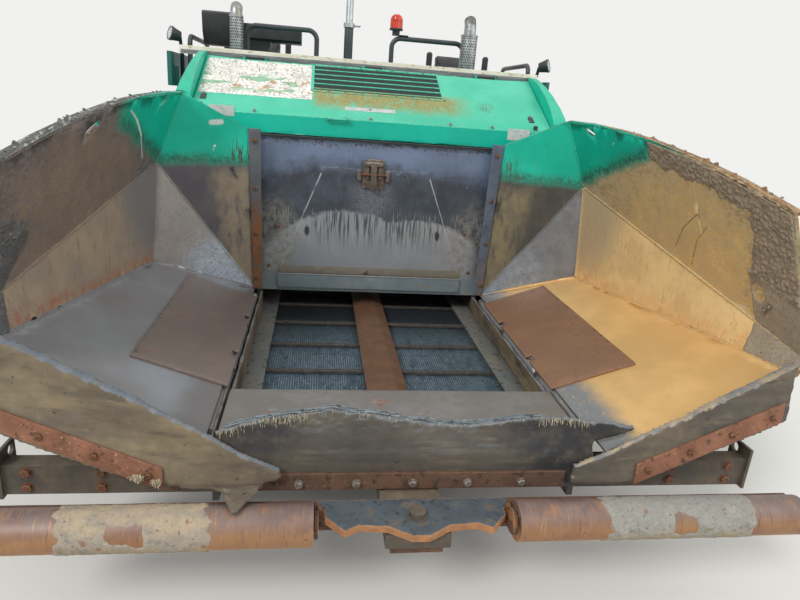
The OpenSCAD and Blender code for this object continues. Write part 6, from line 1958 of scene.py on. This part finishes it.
def soft_pad(name, body, low, high, turn, swell, crown=0.012):
    """Upholstered cushion: a box shape swelled by cloth pressure, with sewn channels across it"""
    low, high = Vector(low), Vector(high)
    middle, half = (low + high) / 2, (high - low) / 2 - Vector((swell, swell, swell))
    bm = bmesh.new()
    bmesh.ops.create_cube(bm, size=2.0)
    for v in bm.verts:
        v.co = Vector(v.co[i] * half[i] for i in range(3))
    bmesh.ops.bevel(bm, geom=list(bm.edges), offset=min(half) * 0.55, segments=4, profile=0.5, affect="EDGES")
    mesh = bpy.data.meshes.new(name)
    bm.to_mesh(mesh)
    bm.free()
    work = bpy.data.objects.new(name + "_work", mesh)
    bpy.context.scene.collection.objects.link(work)
    remesh = work.modifiers.new("remesh", "REMESH")
    remesh.mode = "VOXEL"
    remesh.voxel_size = 0.009
    mesh = bpy.data.meshes.new_from_object(work.evaluated_get(bpy.context.evaluated_depsgraph_get()))
    work.modifiers.clear()
    work.data = mesh
    rest = [v.co.copy() for v in mesh.vertices]
    cloth = work.modifiers.new("cloth", "CLOTH")
    cloth.settings.use_pressure = True
    cloth.settings.uniform_pressure_force = 4.0
    cloth.settings.effector_weights.gravity = 0.0
    cloth.point_cache.frame_start = 1
    cloth.point_cache.frame_end = 14
    for step in range(1, 15):
        bpy.context.scene.frame_set(step)
    swelled = bpy.data.meshes.new_from_object(work.evaluated_get(bpy.context.evaluated_depsgraph_get()))
    moved = [v.co.copy() for v in swelled.vertices]
    work.modifiers.clear()
    bpy.context.scene.frame_set(1)
    turn = turn or Matrix.Identity(3)
    for v, a, b in zip(mesh.vertices, rest, moved):
        step = b - a
        if step.length > crown:
            step *= crown / step.length
        p = a + step
        # Sewn channels across the pad's broad faces
        channel = math.exp(-(((p.y if half.z < half.y else p.z) % 0.16 - 0.08) / 0.010) ** 2)
        flat = 1.0 if abs(a[2 if half.z < half.y else 1]) > 0.8 * half[2 if half.z < half.y else 1] else 0.0
        p -= p.normalized() * 0.006 * channel * flat
        v.co = turn @ p + middle
    mesh.materials.clear()
    mesh.materials.append(finish("vinyl"))
    bpy.data.objects.remove(work)
    piece = placed(name, mesh, body, 60)
    piece.modifiers.new("smooth", "SUBSURF").levels = 1
    return piece


class PAVER_OT_seats(bpy.types.Operator):
    """Two swivel seats: padded pan and back, folded arm posts"""
    bl_idname = "paver.seats"
    bl_label = "Seats"

    def execute(self, context):
        for side, s in SIDES.items():
            body, node = "seat_" + side, "seat_" + side
            x, y, d = s * 0.940, 1.070, DECK_Z
            pan = soft_pad("seat_pan_" + side, body, (x - 0.24, y - 0.24, d + 0.262),
                           (x + 0.24, y + 0.225, d + 0.370), None, 0.006)
            lean = turn_x(-8)
            pivot = Vector((x, y + 0.215, d + 0.300))
            middle = pivot + lean @ Vector((0, 0.0, 0.335))
            half = Vector((0.210, 0.055, 0.305))
            back = soft_pad("seat_back_" + side, body, middle - half, middle + half, lean,
                            0.006)
            shape = Shape()
            # Moulded back shell behind the pad
            rings = []
            for i in range(13):
                h = -0.01 + 0.64 * i / 12
                width = 0.205 - 0.03 * max(0.0, (i - 8) / 4) ** 2
                row = []
                for j in range(17):
                    t = -1 + 2 * j / 16
                    row.append(pivot + lean @ Vector((width * t, 0.058 - 0.020 * t * t, h)))
                for j in range(16, -1, -1):
                    t = -1 + 2 * j / 16
                    row.append(pivot + lean @ Vector((width * t, 0.030 - 0.010 * t * t, h)))
                rings.append(row)
            shape.loft(rings, 0)
            shape.turned((x, y, d + 0.181), (0, 0, 1), [(0, 0.080), (0.046, 0.080), (0.050, 0.076)], 32, 1)
            shape.block((x - 0.200, y - 0.200, d + 0.225), (x + 0.200, y + 0.220, d + 0.268), 0.006, 1)
            for t in (-1, 1):
                shape.block((x + t * 0.275 - 0.026, y + 0.150, d + 0.430),
                            (x + t * 0.275 + 0.026, y + 0.210, d + 0.940), 0.014, 0)
                shape.block((x + t * 0.180, y + 0.165, d + 0.440),
                            (x + t * 0.280, y + 0.200, d + 0.500), 0.006, 1)
            trim = shape.piece("seat_frame_" + side, body, ["abs", "frame"], "dark_frame")
            for piece in (pan, back, trim):
                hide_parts(node)
        return {"FINISHED"}


class PAVER_OT_controls(bpy.types.Operator):
    """Console boxes with hoods, screens, knobs and levers, on their rail"""
    bl_idname = "paver.controls"
    bl_label = "Controls"

    def execute(self, context):
        dress("console", ["abs"], 9.0)
        dress("console_rail", ["frame"], 3.0)
        shape = Shape()
        self.face(shape, -1.000, -0.530, (0.850, 2.216), (0.840, 2.322))
        self.face(shape, -1.000, -0.785, (0.836, 2.142), (0.850, 2.217), False)
        self.face(shape, -1.320, -1.020, (0.820, 2.154), (0.830, 2.380))
        shape.piece("console_details", "console",
                    ["abs", "screen", "rail", "zinc", "label"], "console_plastic")
        shape = Shape()
        for s in (-1, 1):
            for i in range(8):
                shape.hexagon((s * (0.2 + i * 0.15), 0.668, 2.03), (0, -1, 0), 0.014, 0.006)
        shape.piece("console_rail_bolts", "tractor", ["zinc"], "dark_frame")
        return {"FINISHED"}

    def face(self, shape, x0, x1, low, high, screen=True):
        """Panel on the rear of one box, which faces the seats: screens when it has them, and a row of knobs
        """
        a, b = Vector((0, *low)), Vector((0, *high))
        up = (b - a).normalized()
        out = Vector((0, up.z, -up.y))
        turn = Matrix.Rotation(math.atan2(out.z, out.y), 3, "X")

        def place(x, share, lift):
            return Vector((x0 + (x1 - x0) * x, 0, 0)) + a.lerp(b, share) + out * lift
        length, width = (b - a).length, x1 - x0
        if screen:
            for x, share, half_x, half_z in ((0.28, 0.62, 0.20, 0.26), (0.74, 0.62, 0.17, 0.22)):
                half = Vector((half_x * width, 0.004, half_z * length))
                middle = place(x, share, 0.001)
                shape.block(middle - half, middle + half, 0.002, 1, turn)
        for i in range(7 if screen else 4):
            at = place((i + 0.7) / (7.4 if screen else 4.4), 0.17 if screen else 0.5, -0.001)
            shape.turned(at, out, [(0.0, 0.015), (0.004, 0.015)], 20, 3)
            shape.turned(at, out, [(0, 0.012), (0.016, 0.010), (0.018, 0.007)], 20, 0)


class PAVER_OT_rails(bpy.types.Operator):
    """Handrails with feet and clamps"""
    bl_idname = "paver.rails"
    bl_label = "Handrails"

    def execute(self, context):
        dress("handrails", ["rail"], 0, angle=50)
        shape = Shape()
        rails = ((0.200, 0.350, HOUSE_Z, 0, 0.590), (-0.940, 0.350, HOUSE_Z, 0, 0.540),
                 (-1.390, 0.430, DECK_Z, 90, 0.800), (1.390, 0.430, DECK_Z, 90, 0.800),
                 (-1.150, 1.840, DECK_Z, 0, 0.700), (0.450, 1.840, DECK_Z, 0, 0.700))
        for x, y, z, turn, width in rails:
            a = math.radians(turn)
            for along in (0, width):
                p = Vector((x + along * math.cos(a), y + along * math.sin(a), z + 0.0004))
                shape.turned(p, (0, 0, 1), [(0, 0.041), (0.007, 0.041), (0.009, 0.039), (0.009, 0.024),
                                            (0.016, 0.021)], 24, 0)
                for k in range(4):
                    b = math.radians(45 + 90 * k)
                    bolt = p + Vector((0.031 * math.cos(b), 0.031 * math.sin(b), 0.008))
                    shape.hexagon(bolt, (0, 0, 1), 0.009, 0.005, 1)
        shape.piece("rail_feet", "tractor", ["rail", "zinc"], "dark_frame")
        return {"FINISHED"}


class PAVER_OT_stacks(bpy.types.Operator):
    """Exhaust stacks with perforated shields, beacon, mast and work lamps"""
    bl_idname = "paver.stacks"
    bl_label = "Stacks, beacon, mast and lamps"

    def execute(self, context):
        dress("stacks", ["shield"], 2.0)
        shape = Shape()
        for x, r, height in ((0.810, 0.0655, 0.335), (-1.010, 0.0505, 0.325)):
            self.shield(shape, Vector((x, 0.250, HOUSE_Z + 0.002)), r, height)
        shape.piece("stack_shields", "tractor", ["shield", "abs"], "silver_pipe")
        self.beacon()
        dress("mast", ["silver_tube", "rail"], 2.0, pick=lambda c, n: 1 if c.z < HOUSE_Z + 0.339 else 0)
        shape = Shape()
        x, y, z = -0.150, 0.330, HOUSE_Z
        shape.turned((x, y, z + 0.325), (0, 0, 1), [(0, 0.044), (0.030, 0.044), (0.034, 0.040)], 32, 0)
        shape.turned((x, y, z + 0.0004), (0, 0, 1),
                     [(0, 0.062), (0.008, 0.062), (0.012, 0.038), (0.03, 0.036)], 32, 1)
        shape.rod((x + 0.040, y, z + 0.340), (x + 0.085, y, z + 0.340), 0.007, 14, 0)
        shape.rod((x + 0.085, y - 0.035, z + 0.340), (x + 0.085, y + 0.035, z + 0.340), 0.006, 14, 0)
        shape.piece("mast_collars", "tractor", ["silver_tube", "frame"], "silver_pipe")
        dress("work_lamps", ["abs"], 2.0)
        shape = Shape()
        for s in (-1, 1):
            axis = Vector((s * 0.823, -0.514, 0.242)).normalized()
            at = Vector((s * 1.440, 0.300, 2.170)) + axis * 0.072
            shape.turned(at, axis, [(-0.004, 0.047), (0.004, 0.047), (0.008, 0.035), (0.009, 0.001)], 32, 0)
            bezel = [(-0.012, 0.0525), (0.006, 0.0525), (0.008, 0.0490), (0.003, 0.047)]
            shape.turned(at, axis, bezel, 32, 1)
            for i in range(-3, 4):
                level = Vector((axis.y, -axis.x, 0)).normalized()
                p = at + axis.cross(level) * i * 0.0125 + axis * 0.008
                w = level * math.sqrt(max(0.0, 0.045 ** 2 - (i * 0.0125) ** 2))
                shape.rod(p - w, p + w, 0.0013, 6, 1)
        shape.piece("work_lamp_faces", "tractor", ["lamp_glass", "abs"], "lamp_black")
        return {"FINISHED"}

    def shield(self, shape, at, r, height):
        """Sheet with rows of round holes, set off from the pipe; each hole is a dark disc, painted shade in
        place of an opening
        """
        around, rows = 20, int(height / 0.020)
        for i in range(rows):
            for j in range(around):
                a = 2 * math.pi * (j + 0.5 * (i % 2)) / around
                z = at.z + 0.012 + i * 0.020
                n = Vector((math.cos(a), math.sin(a), 0))
                side = Vector((-n.y, n.x, 0))
                # A dark disc for each hole: painted shade
                centre = Vector((at.x, at.y, z)) + n * (r + 0.0002)
                ring = circle(centre, side, Vector((0, 0, 1)), 0.0055, 8)
                shape.loft([[p - n * 0.003 for p in ring], ring], 1)
        for z in (0.004, height - 0.012):
            band = [(0, r + 0.001), (0.002, r + 0.003), (0.016, r + 0.003), (0.018, r + 0.001)]
            shape.turned(at + Vector((0, 0, z)), (0, 0, 1), band, 40, 0)

    def beacon(self):
        dress("beacon", ["abs", "beacon_lens"], 1.5, None, (), lambda c, n: 1 if c.z > 2.370 else 0, 50)
        shape = Shape()
        x, y, z = 0.228, 0.350, 2.3206
        ribs = 24
        for i in range(ribs):
            a = 2 * math.pi * i / ribs
            n = Vector((math.cos(a), math.sin(a), 0))
            top = Vector((x, y, z + 0.110))
            path = [Vector((x, y, z + 0.052)) + n * 0.0482]
            path += [top + n * 0.0482 * math.cos(b) + Vector((0, 0, 0.0482 * math.sin(b)))
                     for b in (0, 0.3, 0.6, 0.9, 1.2)]
            shape.tube(path, 0.0013, 5, 0)
        shape.turned((x, y, z + 0.040), (0, 0, 1),
                     [(0, 0.053), (0.004, 0.0545), (0.010, 0.0545), (0.013, 0.050)], 40, 1)
        shape.piece("beacon_ribs", "tractor", ["beacon_lens", "abs"], "beacon_lens")


class PAVER_OT_tracks(bpy.types.Operator):
    """Rubber-padded tracks with their bolts, and the wheels inside"""
    bl_idname = "paver.tracks"
    bl_label = "Tracks"

    def execute(self, context):
        dress("track_wheels", ["wheel_steel"], 4.0)
        for side, s in SIDES.items():
            dress("track_" + side, ["pad"], 4.0)
            shape = Shape()
            n = sizes().pads
            for i in range(n):
                p, out = self.on_loop((i + 0.4) / n)
                for x in (0.905, 1.010, 1.130, 1.235):
                    shape.turned((s * x, p[0], p[1]), (0, -out[0], -out[1]),
                                 [(0.018, 0.012), (0.002, 0.016), (-0.0006, 0.018)], 10, 1)
                    inner = Vector((s * x, p[0], p[1])) - Vector((0, out[0], out[1])) * 0.0578
                    shape.hexagon(inner, (0, -out[0], -out[1]), 0.020, 0.010, 0)
            shape.piece("track_bolts_" + side, "tractor", ["rusty_bolt", "frame"], "track_rubber")
            shape = Shape()
            for y, z, r, count in ((-1.600, 0.300, 0.12, 6), (1.450, 0.340, 0.15, 10)):
                hub = [(0, r + 0.03), (0.012, r + 0.025), (0.02, r - 0.03), (0.045, r - 0.05),
                       (0.05, r - 0.06)]
                shape.turned((s * 1.130, y, z), (s, 0, 0), hub, 36, 0)
                for k in range(count):
                    a = 2 * math.pi * k / count
                    at = (s * 1.142, y + r * math.cos(a), z + r * math.sin(a))
                    shape.hexagon(at, (s, 0, 0), 0.020, 0.012, 1)
            shape.piece("wheel_hubs_" + side, "tractor", ["wheel_steel", "rusty_bolt"], "worn_steel")
        return {"FINISHED"}

    def on_loop(self, share):
        """Point on the loop over the pads and its outward direction, as (y, z) pairs"""
        iy, ir, sy, sr = -1.600, 0.300, 1.450, 0.340
        flat = sy - iy
        tilt = 2 * math.atan((sr - ir) / flat)
        big, small = (math.pi + tilt) * sr, (math.pi - tilt) * ir
        s = share * (2 * flat + big + small)
        if s < flat:
            return (iy + s, 0.0), (0.0, -1.0)
        if s < flat + big:
            a = -math.pi / 2 + (s - flat) / sr
            return (sy + sr * math.cos(a), sr + sr * math.sin(a)), (math.cos(a), math.sin(a))
        if s < 2 * flat + big:
            a, u = math.pi / 2 + tilt, s - flat - big
            return ((sy + sr * math.cos(a) - u * math.sin(a), sr + sr * math.sin(a) + u * math.cos(a)),
                    (math.cos(a), math.sin(a)))
        a = math.pi / 2 + tilt + (s - 2 * flat - big) / ir
        return (iy + ir * math.cos(a), ir + ir * math.sin(a)), (math.cos(a), math.sin(a))


class PAVER_OT_screed(bpy.types.Operator):
    """Augers, tow arms, screed with its extensions and the cylinders"""
    bl_idname = "paver.screed"
    bl_label = "Augers and screed"

    def execute(self, context):
        dress("tow_arms", ["frame"], 4.0)
        dress("screed", ["screed_steel"], 3.0)
        shape = Shape()
        for i in range(12):
            x = -1.1 + i * 0.2
            shape.hexagon((x, 2.3795, 0.15), (0, -1, 0), 0.022, 0.010)
        shape.piece("screed_bolts", "screed", ["rusty_bolt"], "worn_steel")
        for side, s in SIDES.items():
            dress("auger_" + side, ["wheel_steel"], 2.0)
            dress("screed_extension_" + side, ["screed_steel"], 3.0)
            shape = Shape()
            for i in range(8):
                for k in range(3):
                    x = s * (0.12 + i * 0.145)
                    y = 3.150 + k * 0.065
                    shape.block((x, y, 0.2805), (x + s * 0.11, y + 0.006, 0.2835), 0.001, 0)
            for i in range(6):
                shape.hexagon((s * (0.15 + i * 0.2), 3.1262, 0.20), (0, 1, 0), 0.020, 0.010, 1)
            shape.piece("extension_trim_" + side, "screed_extension_" + side,
                        ["frame", "rusty_bolt"], "worn_steel")
            for kind in ("wing", "lift"):
                dress(kind + "_barrel_" + side, ["frame"], 1.5)
                dress(kind + "_rod_" + side, ["chrome"], 1.0)
        return {"FINISHED"}


class PAVER_PT_panel(bpy.types.Panel):
    """Lists the paver's pieces in the order that they are made"""
    bl_idname = "PAVER_PT_panel"
    bl_label = "Asphalt paver"
    bl_space_type = "VIEW_3D"
    bl_region_type = "UI"
    bl_category = "Paver"

    def draw(self, context):
        for key in PaverSizes.__annotations__:
            self.layout.prop(context.scene.paver, key)
        for step in STEPS:
            self.layout.operator(step.bl_idname)


STEPS = [PAVER_OT_stage, PAVER_OT_frame, PAVER_OT_wings, PAVER_OT_rubber, PAVER_OT_hopper_front,
         PAVER_OT_conveyor, PAVER_OT_bulkhead, PAVER_OT_push_rollers, PAVER_OT_hood, PAVER_OT_house,
         PAVER_OT_platform, PAVER_OT_seats, PAVER_OT_controls, PAVER_OT_rails, PAVER_OT_stacks,
         PAVER_OT_tracks, PAVER_OT_screed]


def register():
    for kind in [PaverSizes] + STEPS + [PAVER_PT_panel]:
        bpy.utils.register_class(kind)
    bpy.types.Scene.paver = bpy.props.PointerProperty(type=PaverSizes)


def unregister():
    del bpy.types.Scene.paver
    for kind in reversed([PaverSizes] + STEPS + [PAVER_PT_panel]):
        bpy.utils.unregister_class(kind)


def main():
    register()
    for step in STEPS:
        getattr(bpy.ops.paver, step.bl_idname.split(".")[1])()


if __name__ == "__main__":
    main()
